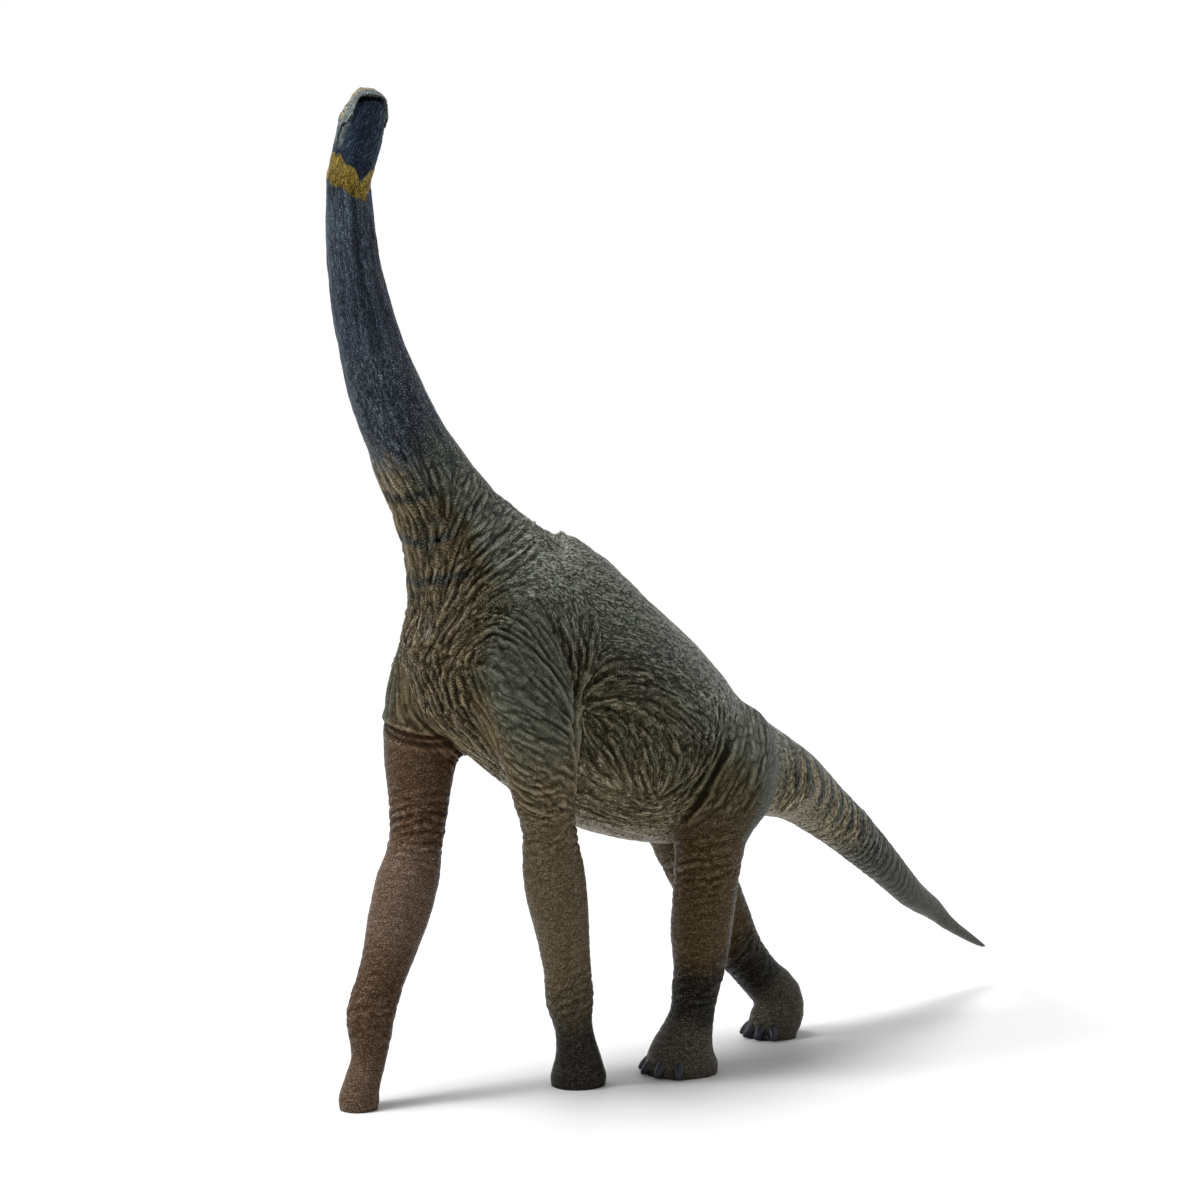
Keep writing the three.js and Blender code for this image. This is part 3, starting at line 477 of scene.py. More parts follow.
def line_distance(points, line):
    """Each point's distance to a line of points, and its place along it from 0 to 1."""
    best = np.full(len(points), 1e9)
    place = np.zeros(len(points))
    for i in range(len(line) - 1):
        step = line[i + 1] - line[i]
        t = np.clip((points - line[i]) @ step / (step @ step), 0, 1)
        gap = np.linalg.norm(points - line[i] - t[:, None] * step, axis=1)
        place = np.where(gap < best, (i + t) / (len(line) - 1), place)
        best = np.minimum(best, gap)
    return best, place


# ---------------------------------------------------------------- meshes

def field_of(items, field, width, kind=float):
    """One field of a mesh's items, a row for each."""
    flat = np.empty(len(items) * width, kind)
    items.foreach_get(field, flat)
    return flat.reshape(-1, width)


def coordinates(mesh):
    """The mesh's vertices in mm."""
    return field_of(mesh.vertices, "co", 3) / MM


def place_vertices(mesh, points):
    mesh.vertices.foreach_set("co", (points * MM).ravel())
    mesh.update()


def normals_of(mesh):
    return field_of(mesh.vertex_normals, "vector", 3)


def edges_of(mesh):
    return field_of(mesh.edges, "vertices", 2, np.int64)


def neighbour_mean(points, edges):
    count = len(points)
    shares = np.bincount(edges.ravel(), minlength=count)[:, None]
    total = np.stack([
        np.bincount(edges[:, 0], points[edges[:, 1], axis], count)
        + np.bincount(edges[:, 1], points[edges[:, 0], axis], count)
        for axis in range(points.shape[1])], 1)
    return np.where(shares > 0, total / np.maximum(shares, 1), points)


def even_out(points, edges, rounds):
    """Smooths the facets out of the points, in place, without shrinking the form."""
    for _ in range(rounds):
        points += (neighbour_mean(points, edges) - points) * 0.5
        points -= (neighbour_mean(points, edges) - points) * 0.52


def new_object(name, mesh):
    obj = bpy.data.objects.new(name, mesh)
    bpy.context.scene.collection.objects.link(obj)
    return obj


def object_from(work, name, smooth=False):
    """An object of the bmesh's shape. The bmesh is freed."""
    mesh = bpy.data.meshes.new(name)
    work.to_mesh(mesh)
    work.free()
    for face in mesh.polygons:
        face.use_smooth = smooth
    return new_object(name, mesh)


def baked(obj):
    """The object's mesh with its modifiers applied."""
    graph = bpy.context.evaluated_depsgraph_get()
    mesh = bpy.data.meshes.new_from_object(obj.evaluated_get(graph))
    old = obj.data
    obj.modifiers.clear()
    obj.data = mesh
    bpy.data.meshes.remove(old)
    return mesh


def fused(name, nodes, swell, weave, filler=None):
    """One skin round several CAD nodes, which overlap by the swell so that their seams close."""
    work = bmesh.new()
    if filler:
        filler(work)
    for node in nodes:
        part = bmesh.new()
        part.from_mesh(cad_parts[node].data)
        bmesh.ops.remove_doubles(part, verts=part.verts, dist=1e-6)
        part.normal_update()
        for vertex in part.verts:
            vertex.co += vertex.normal * swell
        copy = bpy.data.meshes.new("copy")
        part.to_mesh(copy)
        part.free()
        work.from_mesh(copy)
        bpy.data.meshes.remove(copy)
    obj = object_from(work, name)
    remesh = obj.modifiers.new("skin", "REMESH")
    remesh.mode = "VOXEL"
    remesh.voxel_size = weave
    remesh.use_smooth_shade = True
    baked(obj)
    return outermost(obj)


def subdivided(obj):
    """The object's mesh, subdivided once."""
    smooth = obj.modifiers.new("smooth", "SUBSURF")
    smooth.levels = smooth.render_levels = 1
    return baked(obj)


def separated(obj, kind):
    """The objects that an object is taken apart into, by LOOSE parts or by MATERIAL."""
    bpy.ops.object.select_all(action="DESELECT")
    obj.select_set(True)
    bpy.context.view_layer.objects.active = obj
    bpy.ops.object.mode_set(mode="EDIT")
    bpy.ops.mesh.select_all(action="SELECT")
    bpy.ops.mesh.separate(type=kind)
    bpy.ops.object.mode_set(mode="OBJECT")
    return list(bpy.context.selected_objects)


def outermost(obj):
    """Keeps the largest loose part, and drops the walls of the hollows inside it."""
    parts = sorted(separated(obj, "LOOSE"), key=lambda o: o.dimensions.length)
    for part in parts[:-1]:
        mesh = part.data
        bpy.data.objects.remove(part)
        bpy.data.meshes.remove(mesh)
    return parts[-1]


def node_tree(names):
    """A search tree over the CAD nodes' faces, and the number of the node of each face."""
    vertices, faces, owners = [], [], []
    for number, name in enumerate(names):
        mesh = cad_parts[name].data
        start = len(vertices)
        vertices.extend(v.co.copy() for v in mesh.vertices)
        for face in mesh.polygons:
            faces.append([start + v for v in face.vertices])
            owners.append(number)
    return BVHTree.FromPolygons(vertices, faces), owners


def share_out(mesh, names):
    """Gives each face the number of the nearest CAD node."""
    tree, owners = node_tree(names)
    even_seams(mesh, np.array([
        owners[tree.find_nearest(face.center)[2]] for face in mesh.polygons]))


def even_seams(mesh, numbers):
    """Numbers the faces, and evens the lines between faces of different numbers."""
    mesh.polygons.foreach_set("material_index", numbers.astype(np.int32))
    loops = field_of(mesh.loops, "vertex_index", 1, np.int64).ravel()
    sizes = field_of(mesh.polygons, "loop_total", 1, np.int64).ravel()
    owner = np.repeat(numbers, sizes)
    low = np.full(len(mesh.vertices), 99)
    high = np.full(len(mesh.vertices), -1)
    np.minimum.at(low, loops, owner)
    np.maximum.at(high, loops, owner)
    seam = low != high
    edges = edges_of(mesh)
    edges = edges[seam[edges].all(1)]
    points = coordinates(mesh)
    for _ in range(6):
        mean = neighbour_mean(points, edges)
        points[seam] += (mean[seam] - points[seam]) * 0.5
    skin = BVHTree.FromPolygons(
        [v.co for v in mesh.vertices], [list(f.vertices) for f in mesh.polygons])
    for index in np.nonzero(seam)[0]:
        points[index] = np.array(skin.find_nearest(Vector(points[index] * MM))[0]) / MM
    place_vertices(mesh, points)


def set_attribute(mesh, name, kind, values):
    attribute = mesh.attributes.new(name, kind, "POINT")
    field = {"FLOAT": "value", "FLOAT_VECTOR": "vector", "FLOAT_COLOR": "color"}[kind]
    attribute.data.foreach_set(field, np.ascontiguousarray(values, np.float32).ravel())


# ---------------------------------------------------------------- hide

body_axis = Axis(BODY_AXIS, 260)
leg_axes = {name: Axis(stations, 90) for name, stations in LEG_AXES.items()}


def limb_places(points):
    """Where each point lies on the body and the legs."""
    place = {"body": body_axis.places(points)}
    nearest = np.full(len(points), 9.0)
    for name, axis in leg_axes.items():
        own = axis.places(points)
        place[name] = own
        closer = own[:, 3] < nearest
        nearest = np.where(closer, own[:, 3], nearest)
    body = place["body"]
    place["leg_share"] = ramp(-0.12, 0.25, body[:, 3] - nearest)
    place["legs"] = {
        name: place["leg_share"] * (place[name][:, 3] <= nearest + 1e-9) for name in leg_axes}
    place["around"] = np.arctan2(body[:, 1], body[:, 2])
    place["dorsal"] = np.cos(place["around"])
    away = points - body_axis.centres[body_axis.station(body[:, 0])]
    away /= np.linalg.norm(away, axis=1)[:, None]
    place["front"], place["left"] = away[:, 0], away[:, 1]
    return place


def crease(distance, half_width):
    """A rounded valley with a low lip on each side."""
    near = distance / half_width
    return np.exp(-near ** 2) - 0.45 * np.exp(-(near - 2) ** 2)


def on_side(line, side):
    """A line of the left side, or its mirror image on the right."""
    return line * (1, side, 1) + (0, MIDLINE_Y * (1 - side), 0)


def fold_lines(skin):
    """Every fold as points on the skin, with its depth and half width, for both sides."""
    chance = np.random.RandomState(7)
    lines = []
    for first, last, count, depth, half_width in FOLD_FAMILIES:
        start, end = spline(first, 14), spline(last, 14)
        for number in range(count):
            share = (number + chance.uniform(-0.28, 0.28)) / max(count - 1, 1)
            line = start + (end - start) * np.clip(share, -0.03, 1.03)
            trim = chance.randint(0, 4)
            line = line[trim:len(line) - chance.randint(0, 3)]
            wave = np.sin(np.linspace(0, chance.uniform(5, 9), len(line)) + chance.uniform(0, 6))
            line = line + wave[:, None] * chance.uniform(-0.45, 0.45, 3)
            lines.append((
                line, depth * chance.uniform(0.55, 1.2), half_width * chance.uniform(0.8, 1.2)))
    lines += [(spline(points, 14), depth, half_width) for points, depth, half_width in CREASES]
    both = []
    for line, depth, half_width in lines:
        for side in (LEFT, RIGHT):
            snapped = np.array([
                skin.find_nearest(Vector(p * MM))[0] for p in on_side(line, side)]) / MM
            both.append((snapped, depth, half_width))
    return both


def folds(points, skin, share, broad=False):
    """The sculpted folds' height in mm, either the fine ones or the broad hollows."""
    height = np.zeros(len(points))
    for line, depth, half_width in fold_lines(skin):
        if broad != (half_width > 2):
            continue
        reach = half_width * 4
        low, high = line.min(0) - reach, line.max(0) + reach
        near = np.nonzero(((points > low) & (points < high)).all(1))[0]
        if not len(near):
            continue
        distance, place = line_distance(points[near], line)
        ends = ramp(0, 0.16, place) * ramp(0, 0.16, 1 - place)
        valley = crease(distance, half_width) * (0.35 + 0.65 * ends) * (distance < reach)
        height[near] -= depth * valley * np.where((place > 0) & (place < 1), 1, 0.3)
    return height * share


def flow_field(points, normals, place):
    """The way that the folds run at each point, and how strongly the guides hold there."""
    marks, ways = [], []
    for guide in FLOW_GUIDES:
        line = spline(guide, 4 * len(guide))
        way = np.gradient(line, axis=0)
        for side in (LEFT, RIGHT):
            marks.append(on_side(line, side))
            ways.append(way * (1, side, 1))
    marks, ways = np.vstack(marks), np.vstack(ways)
    ways /= np.linalg.norm(ways, axis=1)[:, None]
    pairs = ((0, 0), (1, 1), (2, 2), (0, 1), (0, 2), (1, 2))
    spreads = np.stack([ways[:, a] * ways[:, b] for a, b in pairs], 1)
    spreads = np.column_stack([spreads, np.ones(len(ways))])
    total = np.zeros((len(points), 7))
    for first in range(0, len(points), CHUNK):
        part = points[first:first + CHUNK]
        gaps = (part ** 2).sum(1)[:, None] + (marks ** 2).sum(1) - 2 * part @ marks.T
        total[first:first + CHUNK] = np.exp(-np.maximum(gaps, 0) / 45) @ spreads
    held = total[:, 6].copy()
    # Elsewhere: along the body, and round the legs and the tail
    body = place["body"]
    along = body_axis.ahead[body_axis.station(body[:, 0])]
    rest = along.copy()
    tail = body[:, 0] < 205
    rest[tail] = np.cross(along, normals)[tail] + 0.35 * along[tail]
    for name, weight in place["legs"].items():
        axis = leg_axes[name]
        own = axis.station(place[name][:, 0])
        round_leg = np.cross(axis.ahead[own], normals) + 0.25 * axis.ahead[own]
        rest = np.where(weight[:, None] > 0.5, round_leg, rest)
    rest /= np.maximum(np.linalg.norm(rest, axis=1), 1e-6)[:, None]
    total[:, :6] += 0.35 * np.stack([rest[:, a] * rest[:, b] for a, b in pairs], 1)
    tensor = np.empty((len(points), 3, 3))
    for number, (a, b) in enumerate(pairs):
        tensor[:, a, b] = tensor[:, b, a] = total[:, number]
    way = np.linalg.eigh(tensor)[1][:, :, 2]
    way -= (way * normals).sum(1)[:, None] * normals
    return way / np.maximum(np.linalg.norm(way, axis=1), 1e-6)[:, None], held


def ridges(value):
    """Rounded ridges with sharp valleys at whole numbers, from -1 to 1."""
    return 2 * np.abs(np.sin(np.pi * value)) ** 0.7 - 1


def streaks(points, way, size, reach, seed):
    """Long rounded ridges that run along the way, with sharp valleys between, from -1 to 1."""
    steps = np.linspace(-reach, reach, 9)
    total = sum(noise(points + way * step, size, seed) for step in steps) / len(steps)
    return 2 * np.minimum(np.abs(total) / (1.7 * total.std()), 1) ** 0.62 - 1


def relief(points, normals, place, skin, sizes):
    """The sculpted hide over the plain skin: folds and broad hollows in mm, the way and reach
    of the ripples in mm, the share of scales over ripples, and the share of fine relief."""
    body = place["body"]
    along, around, dorsal = body[:, 0], place["around"], place["dorsal"]
    leg = place["leg_share"]
    trunk = (1 - leg) * ramp(150, 190, along) * (1 - ramp(345, 375, along))
    neck = (1 - leg) * ramp(345, 375, along)
    tail = (1 - leg) * (1 - ramp(140, 175, along))
    way, held = flow_field(points, normals, place)
    held = ramp(0.3, 2.2, held)
    joints = np.zeros(len(points))
    for name, weight in place["legs"].items():
        down = place[name][:, 0]
        knee, ankle = FORE_JOINTS if name.startswith("front") else HIND_JOINTS
        bend = np.exp(-((down - knee) / 12) ** 2) + 0.8 * np.exp(-((down - ankle) / 12) ** 2)
        joints += weight * (0.25 + bend)
    side_neck = neck * ramp(0.55, 0.1, dorsal)

    # The back ripples more than it folds
    held *= 1 - 0.9 * trunk * ramp(-0.1, 0.4, dorsal)
    coarse = 0.32 * held + 0.1 * trunk + 0.12 * joints + 0.2 * side_neck + 0.14 * tail
    medium = 0.34 * held + 0.15 * trunk + 0.18 * joints + 0.16 * neck + 0.12 * tail
    fades = (ramp(60, 120, along) + leg).clip(0, 1)
    wide_streaks = streaks(points, way, 2.7, 9.0, 91)
    streak = streaks(points, way, 1.6, 6.5, 92)
    height = folds(points, skin, sizes.fold_share)
    height += coarse * wide_streaks * fades + medium * streak * fades

    # Rings and folds round the tail, from the spine back towards the body
    bend = along + 4.5 * np.abs(np.sin(around / 2)) ** 2
    rings = ridges(bend / 4.4 + 0.5 * noise(points, 9, 37))
    height += tail * 0.24 * rings * ramp(60, 110, along) * ramp(200, 185, along)
    # Creases across the knees and ankles
    uneven = 0.3 + 0.7 * ramp(-0.4, 0.4, noise(points, 10, 45))
    for name, weight in place["legs"].items():
        own = place[name]
        slant = own[:, 0] + 0.45 * own[:, 1] + 1.5 * noise(points, 8, 41)
        creases = weight * joints * ridges(slant / 3.4) * ramp(4, 12, points[:, 2]) * uneven
        height += 0.2 * creases
    # The groove down the left of the neck
    groove = neck * np.exp(-((place["front"] - 0.3) / 0.14) ** 2) * (place["left"] > 0)
    height -= 0.55 * (groove * ramp(215, 235, points[:, 2]))
    edge, _ = line_distance(points, spline(CHEST_EDGE, 24))
    below = edge * np.sign(125.6 + 0.28 * (np.abs(points[:, 1] + 8)) - points[:, 2])
    lip = np.exp(-((below - 1.1) / 1.3) ** 2)
    height += 0.7 * np.exp(-((below + 1.2) / 1.6) ** 2) - 1.2 * lip
    height = np.clip(height, -1.5, 1.3)
    even = seam_fade(points)
    hollow = 0.45 * clouds(points, 13, 57) * (trunk + 0.5 * neck)
    hollow = hollow + 0.3 * leg * clouds(points, 10, 43)

    reach = 0.45 + 2.0 * held + 0.5 * side_neck + 0.5 * tail + 0.4 * np.minimum(joints, 1)
    scaly = 0.15 + 0.4 * leg + 0.6 * neck - 0.15 * held * (1 - leg)
    scaly = scaly - 0.3 * side_neck * ramp(-0.3, -0.7, dorsal)
    strip = neck * ramp(0.1, -0.2, place["left"]) * ramp(0.4, 0.75, place["front"])
    fine = 1 - 0.3 * held - 0.3 * leg - 0.75 * (1 - leg) * ramp(128, 98, along) - 0.6 * strip
    return height * even, hollow * even, way * reach[:, None], scaly.clip(0, 1), fine.clip(0, 1)


def studs(points, skin, sizes):
    """The row of small studs along the spine: how far they raise the skin, in mm."""
    chance = np.random.RandomState(11)
    height = np.zeros(len(points))
    place = 42.0
    while place < 480:
        near = body_axis.station(place)
        centre, up, left = body_axis.centres[near], body_axis.up[near], body_axis.left[near]
        tilt = chance.uniform(-0.1, 0.1)
        outward = Vector(up + left * tilt).normalized()
        hit = skin.ray_cast(Vector(centre * MM) + outward * 0.12, -outward)[0]
        if hit is not None:
            distance = np.linalg.norm(points - np.array(hit) / MM, axis=1)
            size = chance.uniform(0.75, 1.15) * (0.55 + 0.45 * ramp(60, 200, place))
            size *= 1 + 0.4 * ramp(190, 215, place) * ramp(320, 300, place)
            height += sizes.stud_rise / MM * size * np.exp(-(distance / (0.85 * size)) ** 2)
        place += sizes.stud_spacing / MM * chance.uniform(0.75, 1.3)
    return height


def blended(base, coat, share):
    return base + (np.array(coat) - base) * np.clip(share, 0, 1)[:, None]


def paint_coats(points, place, paint):
    """The hand-painted colour of each point of the hide, laid on coat by coat."""
    body = place["body"]
    along, dorsal = body[:, 0], place["dorsal"]
    x, y, z = points.T
    leg = place["leg_share"]
    soft, fine, patch = (clouds(points, size, seed) for size, seed in ((14, 61), (4, 63), (24, 65)))
    colours = np.tile(np.array(paint.back, float), (len(points), 1))

    def coat(colour_of_coat, share):
        colours[:] = blended(colours, colour_of_coat, share)

    coat(paint.back_light, ramp(0.1, 0.8, dorsal + 0.2 * soft) * ramp(60, 100, x))
    coat(paint.flank, ramp(0.35, -0.45, dorsal + 0.25 * soft) * (1 - 0.4 * ramp(300, 350, along)))
    # Brown painted shade in cloudy patches, darker towards the lower sides
    coat(paint.umber_shade, 0.5 * ramp(0.05, 0.6, patch) * ramp(0.5, -0.2, dorsal))
    coat(paint.belly, ramp(-0.68, -0.95, dorsal + 0.15 * soft))
    # Beige chest, neck base and shoulder arcs
    chest = ramp(118, 134, x + 5 * soft) * ramp(212, 196, z + 6 * soft) * ramp(0.1, -0.35, dorsal)
    coat(paint.chest, 0.9 * chest)
    mottled = (chest + ramp(175, 190, z) * ramp(118, 128, x)).clip(0, 1)
    coat(paint.stripe, 0.5 * ramp(0.1, 0.5, clouds(points, 6, 67)) * mottled)
    # The dark patch on the shoulder's dome
    dome = np.linalg.norm((points - (124, 29, 152)) * (1, 0.6, 0.8), axis=1)
    coat(paint.stripe, 0.6 * ramp(12, 5, dome + 3 * soft) * (y > 0))
    # Hips and the back of the neck's foot, paler green-grey and lightened further; on the back of
    # the
    #     neck's foot, which faces away from the lamps, the lightening is painted highlight
    hips = ramp(60, 25, x) * ramp(-0.4, 0.2, dorsal)
    nape_highlight = ramp(0.35, 0.05, place["front"]) * ramp(325, 345, along)
    coat(paint.back_light, 0.9 * np.maximum(hips, nape_highlight))
    colours *= (1 + 0.15 * hips + 0.35 * nape_highlight)[:, None]
    # Legs
    arm = np.zeros(len(points))
    for name, weight in place["legs"].items():
        own = place[name]
        down = own[:, 0]
        fore, striding = name.startswith("front"), name == "front_right_leg"
        if fore:
            outside = np.sign(y - MIDLINE_Y) * own[:, 1]
            arm = np.maximum(arm, weight * ramp(75, 45, down + 8 * soft) * ramp(-4, 6, outside))
        upper = 45 if fore else 52
        start = ramp(upper - 25, upper + 10, down + 6 * soft)
        if striding:
            start = ramp(128.5, 124.5, z + 0.28 * (y + 8) * (y < -8))
        shade = paint.russet if striding else paint.foreleg if fore else paint.hindleg
        coat(shade, weight * start)
        axis = leg_axes[name]
        behind = ramp(2, 9, np.interp(down, axis.along, axis.centres[:, 0]) - x + 4 * soft)
        if not fore:
            coat(paint.back, 0.85 * weight * behind * ramp(112, 70, down))
            shin = weight * ramp(88, 110, down + 7 * soft) * ramp(130, 120, down)
            coat(paint.shin, 0.95 * shin * (1 - 0.5 * behind))
            coat(paint.hindfoot, weight * ramp(116, 125, down + 4 * soft))
        elif striding:
            worn = ramp(82, 98, down) * ramp(135, 118, down) + 0.5 * ramp(160, 170, down)
            coat(paint.russet_light, 0.75 * weight * worn)
            coat(paint.foot, 0.5 * weight * behind)
        else:
            coat(paint.foot, 0.95 * weight * ramp(130, 168, down + 9 * soft))
    coat(paint.back, 0.8 * arm)
    # Tail
    tail = (1 - leg) * ramp(206, 186, along + 4 * soft)
    coat(paint.tail, tail * ramp(0.85, 0.3, dorsal + 0.2 * soft))
    bend = along + 10 * (0.5 - dorsal / 2) + 2 * noise(points, 12, 71)
    stripes = ramp(-0.1, 0.4, np.sin(2 * np.pi * bend / 9.0))
    stripes = stripes * ramp(-0.75, -0.1, dorsal + 0.3 * soft)
    ends = ramp(95, 110, along), ramp(204, 190, along)
    coat(paint.stripe, 0.92 * tail * stripes * ends[0] * ends[1])
    coat(paint.tail_end, 0.92 * ramp(150, 116, along + 9 * soft) * (1 - leg))
    # Navy neck under a clouded grey-blue coat, and the collar
    navy = ramp(213, 233, z + 5 * soft + 7 * fine - 4 * dorsal) * (1 - leg)
    coat(paint.neck, navy)
    coat(paint.neck_coat, 0.85 * navy * ramp(0.2, -0.2, 0.1 * soft))
    coat(paint.band, 0.97 * collar(points))
    for bar in THROAT_BARS:
        curve = np.abs(z - bar + 1.2 * noise(points, 5, 75) - 0.02 * (y - 2) ** 2)
        coat(paint.stripe, 0.85 * ramp(2.4, 0.8, curve) * ramp(-0.3, -0.7, dorsal) * (1 - leg))
    return colours


def past_seam(points):
    """How far each point lies on the head's side of the seam between neck and head."""
    return (points - HEAD_SEAM) @ HEAD_SEAM_WAY


def seam_fade(points):
    """0 at the seam between neck and head, and 1 from 2.5 mm away."""
    away = np.abs(past_seam(points))
    near_head = np.linalg.norm(points - HEAD_SEAM, axis=1) < 14
    return np.where(near_head, ramp(0.2, 2.5, away), 1)


def in_box(points):
    """The points, held inside the CAD model's box."""
    return np.clip(points, np.array(cad_box[0]) / MM, np.array(cad_box[1]) / MM)


def dress(mesh, points, normals, skin, sizes, paint):
    """Moves the skin's points to the sculpted hide, and writes what its material reads."""
    place = limb_places(points)
    height, hollow, ripple, scaly, fine = relief(points, normals, place, skin, sizes)
    height += studs(points, skin, sizes)
    hollow += folds(points, skin, sizes.fold_share, True)
    floor = ramp(0.4, 3, points[:, 2])
    moved = points + normals * ((height + hollow) * floor)[:, None]
    moved[:, 2] = np.where(points[:, 2] < 0.6, 0, np.maximum(moved[:, 2], 0.05))
    place_vertices(mesh, in_box(moved))
    write_skin(mesh, paint_coats(points, place, paint), cavities(mesh, height), ripple, scaly, fine)


def cavities(mesh, height):
    """How far each point stands out of the relief round it, which sets the dark wash and painted
    shade in the hollows and the painted highlight on the tops.
    """
    edges = edges_of(mesh)
    around = height
    for _ in range(9):
        around = neighbour_mean(around[:, None], edges)[:, 0]
    return np.clip(1.7 * (height - around) + 0.15 * height, -1.1, 0.7)


def write_skin(mesh, colours, tone, ripple, scaly, fine):
    set_attribute(mesh, "paint", "FLOAT_COLOR", np.column_stack([colours, scaly]))
    set_attribute(mesh, "shade_wash", "FLOAT", tone)
    set_attribute(mesh, "fine", "FLOAT", fine)
    set_attribute(mesh, "ripple_way", "FLOAT_VECTOR", ripple)
    set_attribute(mesh, "skin_normal", "FLOAT_VECTOR", normals_of(mesh))


# ---------------------------------------------------------------- materials

def add(tree, kind, settings=None, links=None):
    """Adds a node with its settings and its links. A number or colour is set on the socket."""
    node = tree.nodes.new(kind)
    for key, value in (settings or {}).items():
        setattr(node, key, value)
    for socket, value in (links or {}).items():
        if isinstance(value, bpy.types.NodeSocket):
            tree.links.new(value, node.inputs[socket])
        else:
            node.inputs[socket].default_value = value
    return node


def sums(tree, operation, first, second=0.0, third=0.0):
    node = add(tree, "ShaderNodeMath", {"operation": operation}, {0: first, 1: second, 2: third})
    return node.outputs[0]


def vector_sums(tree, operation, *values, scale=None):
    links = dict(enumerate(values))
    if scale is not None:
        links["Scale"] = scale
    node = add(tree, "ShaderNodeVectorMath", {"operation": operation}, links)
    return node.outputs["Value" if operation in ("DOT_PRODUCT", "LENGTH") else "Vector"]


def map_range(tree, value, low, high, to_low=0.0, to_high=1.0, kind="LINEAR"):
    node = add(tree, "ShaderNodeMapRange", {"interpolation_type": kind}, {
        "Value": value, "From Min": low, "From Max": high, "To Min": to_low, "To Max": to_high})
    return node.outputs[0]


def grain(tree, place, scale, detail, roughness=0.5):
    node = add(tree, "ShaderNodeTexNoise", {}, {
        "Vector": place, "Scale": scale, "Detail": detail, "Roughness": roughness})
    return node.outputs["Fac"]


def object_places(tree):
    return add(tree, "ShaderNodeTexCoord").outputs["Object"]


def new_material(name):
    material = bpy.data.materials.new(name)
    material.use_nodes = True
    material.node_tree.nodes.clear()
    return material, material.node_tree


def finish_material(tree, shading):
    shader = add(tree, "ShaderNodeBsdfPrincipled", {}, shading)
    add(tree, "ShaderNodeOutputMaterial", links={"Surface": shader.outputs[0]})


def painted_vinyl(name, scale_mm, ripple_mm, depth_mm, varnish, drybrush_highlight_code):
    """Soft vinyl cast with ripples and scales, painted by hand: a dark wash and painted shade lie
    in the valleys, a pale dry-brushed coat and painted highlight on the tops, under a satin
    varnish."""
    material, tree = new_material(name)
    paint, shade_wash, way, fine = (
        add(tree, "ShaderNodeAttribute", {"attribute_name": attribute}).outputs
        for attribute in ("paint", "shade_wash", "ripple_way", "fine"))
    place = vector_sums(tree, "SCALE", object_places(tree), scale=1 / MM)
    # Ripples: the sum of noise taken at places along their way draws it out lengthwise
    total = 0.0
    for step in RIPPLE_STEPS:
        along = vector_sums(tree, "MULTIPLY_ADD", way["Vector"], (step, step, step), place)
        total = sums(tree, "ADD", grain(tree, along, 1 / ripple_mm, 0.6), total)
    mean = len(RIPPLE_STEPS) / 2
    ripple = sums(tree, "ABSOLUTE", sums(tree, "SUBTRACT", total, mean))
    ripple = sums(tree, "POWER", map_range(tree, ripple, 0.0, 0.45), 0.7)
    scales = add(tree, "ShaderNodeTexVoronoi", {"feature": "DISTANCE_TO_EDGE"}, {
        "Vector": place, "Scale": 1 / scale_mm})
    tops = map_range(tree, scales.outputs["Distance"], 0.0, 0.36, kind="SMOOTHSTEP")
    crumbs = grain(tree, place, 1.5, 4, 0.7)
    rise = add(tree, "ShaderNodeMix", {}, {0: paint["Alpha"], 2: ripple, 3: tops})
    rise = add(tree, "ShaderNodeMix", {}, {0: fine["Fac"], 2: 0.62, 3: rise.outputs[0]})
    rise = rise.outputs[0]
    # Wash and painted shade in the valleys, painted highlight on the tops: -1.7 to 1.15, a power on
    # the paint
    tone = sums(tree, "MULTIPLY_ADD", rise, 2.1, shade_wash["Fac"])
    tone = sums(tree, "MULTIPLY_ADD", crumbs, 1.1, tone)
    tone = sums(tree, "MINIMUM", sums(tree, "ADD", tone, -1.8), 1.15)
    tone = sums(tree, "MAXIMUM", tone, -1.7)
    # The paint, darkened by the wash and painted shade in the valleys and lightened by painted
    # highlight on the tops
    brushed = vector_sums(tree, "SCALE", paint["Color"], scale=sums(tree, "POWER", 2.9, tone))
    # A pale dry-brushed coat and painted highlight on the tops
    drybrushed_highlight = add(tree, "ShaderNodeMix", {"data_type": "RGBA"}, {
        0: map_range(tree, tone, 0.1, 1.0, 0.0, 0.16), 6: brushed, 7: (*linear(drybrush_highlight_code), 1)})
    bump = add(tree, "ShaderNodeBump", {}, {
        "Height": sums(tree, "MULTIPLY_ADD", crumbs, 0.35, rise),
        "Distance": depth_mm * MM, "Strength": 1.0})
    finish_material(tree, {
        "Base Color": drybrushed_highlight.outputs[2], "Roughness": 0.42, "Normal": bump.outputs[0],
        "IOR": 1.5, "Specular IOR Level": 0.07,
        "Coat Weight": map_range(tree, tone, -0.3, 1.0, 0.0, varnish), "Coat Roughness": 0.32})
    return material


# ---------------------------------------------------------------- operators

def close_rims(mesh):
    """Closes a moulding's open rims, which meet its neighbours', with walls that turn in
    under the skin."""
    work = bmesh.new()
    work.from_mesh(mesh)
    normal = work.verts.layers.float_vector["skin_normal"]
    rim = [edge for edge in work.edges if edge.is_boundary]
    made = bmesh.ops.extrude_edge_only(work, edges=rim)["geom"]
    for vertex in made:
        if isinstance(vertex, bmesh.types.BMVert):
            vertex.co -= Vector(vertex[normal]) * RIM_DEPTH * MM
    inner = [edge for edge in work.edges if edge.is_boundary]
    caps = bmesh.ops.holes_fill(work, edges=inner, sides=0)["faces"]
    caps = bmesh.ops.triangulate(work, faces=caps)["faces"]
    for face in caps:
        face.smooth = False
    bmesh.ops.recalc_face_normals(work, faces=work.faces)
    work.to_mesh(mesh)
    work.free()


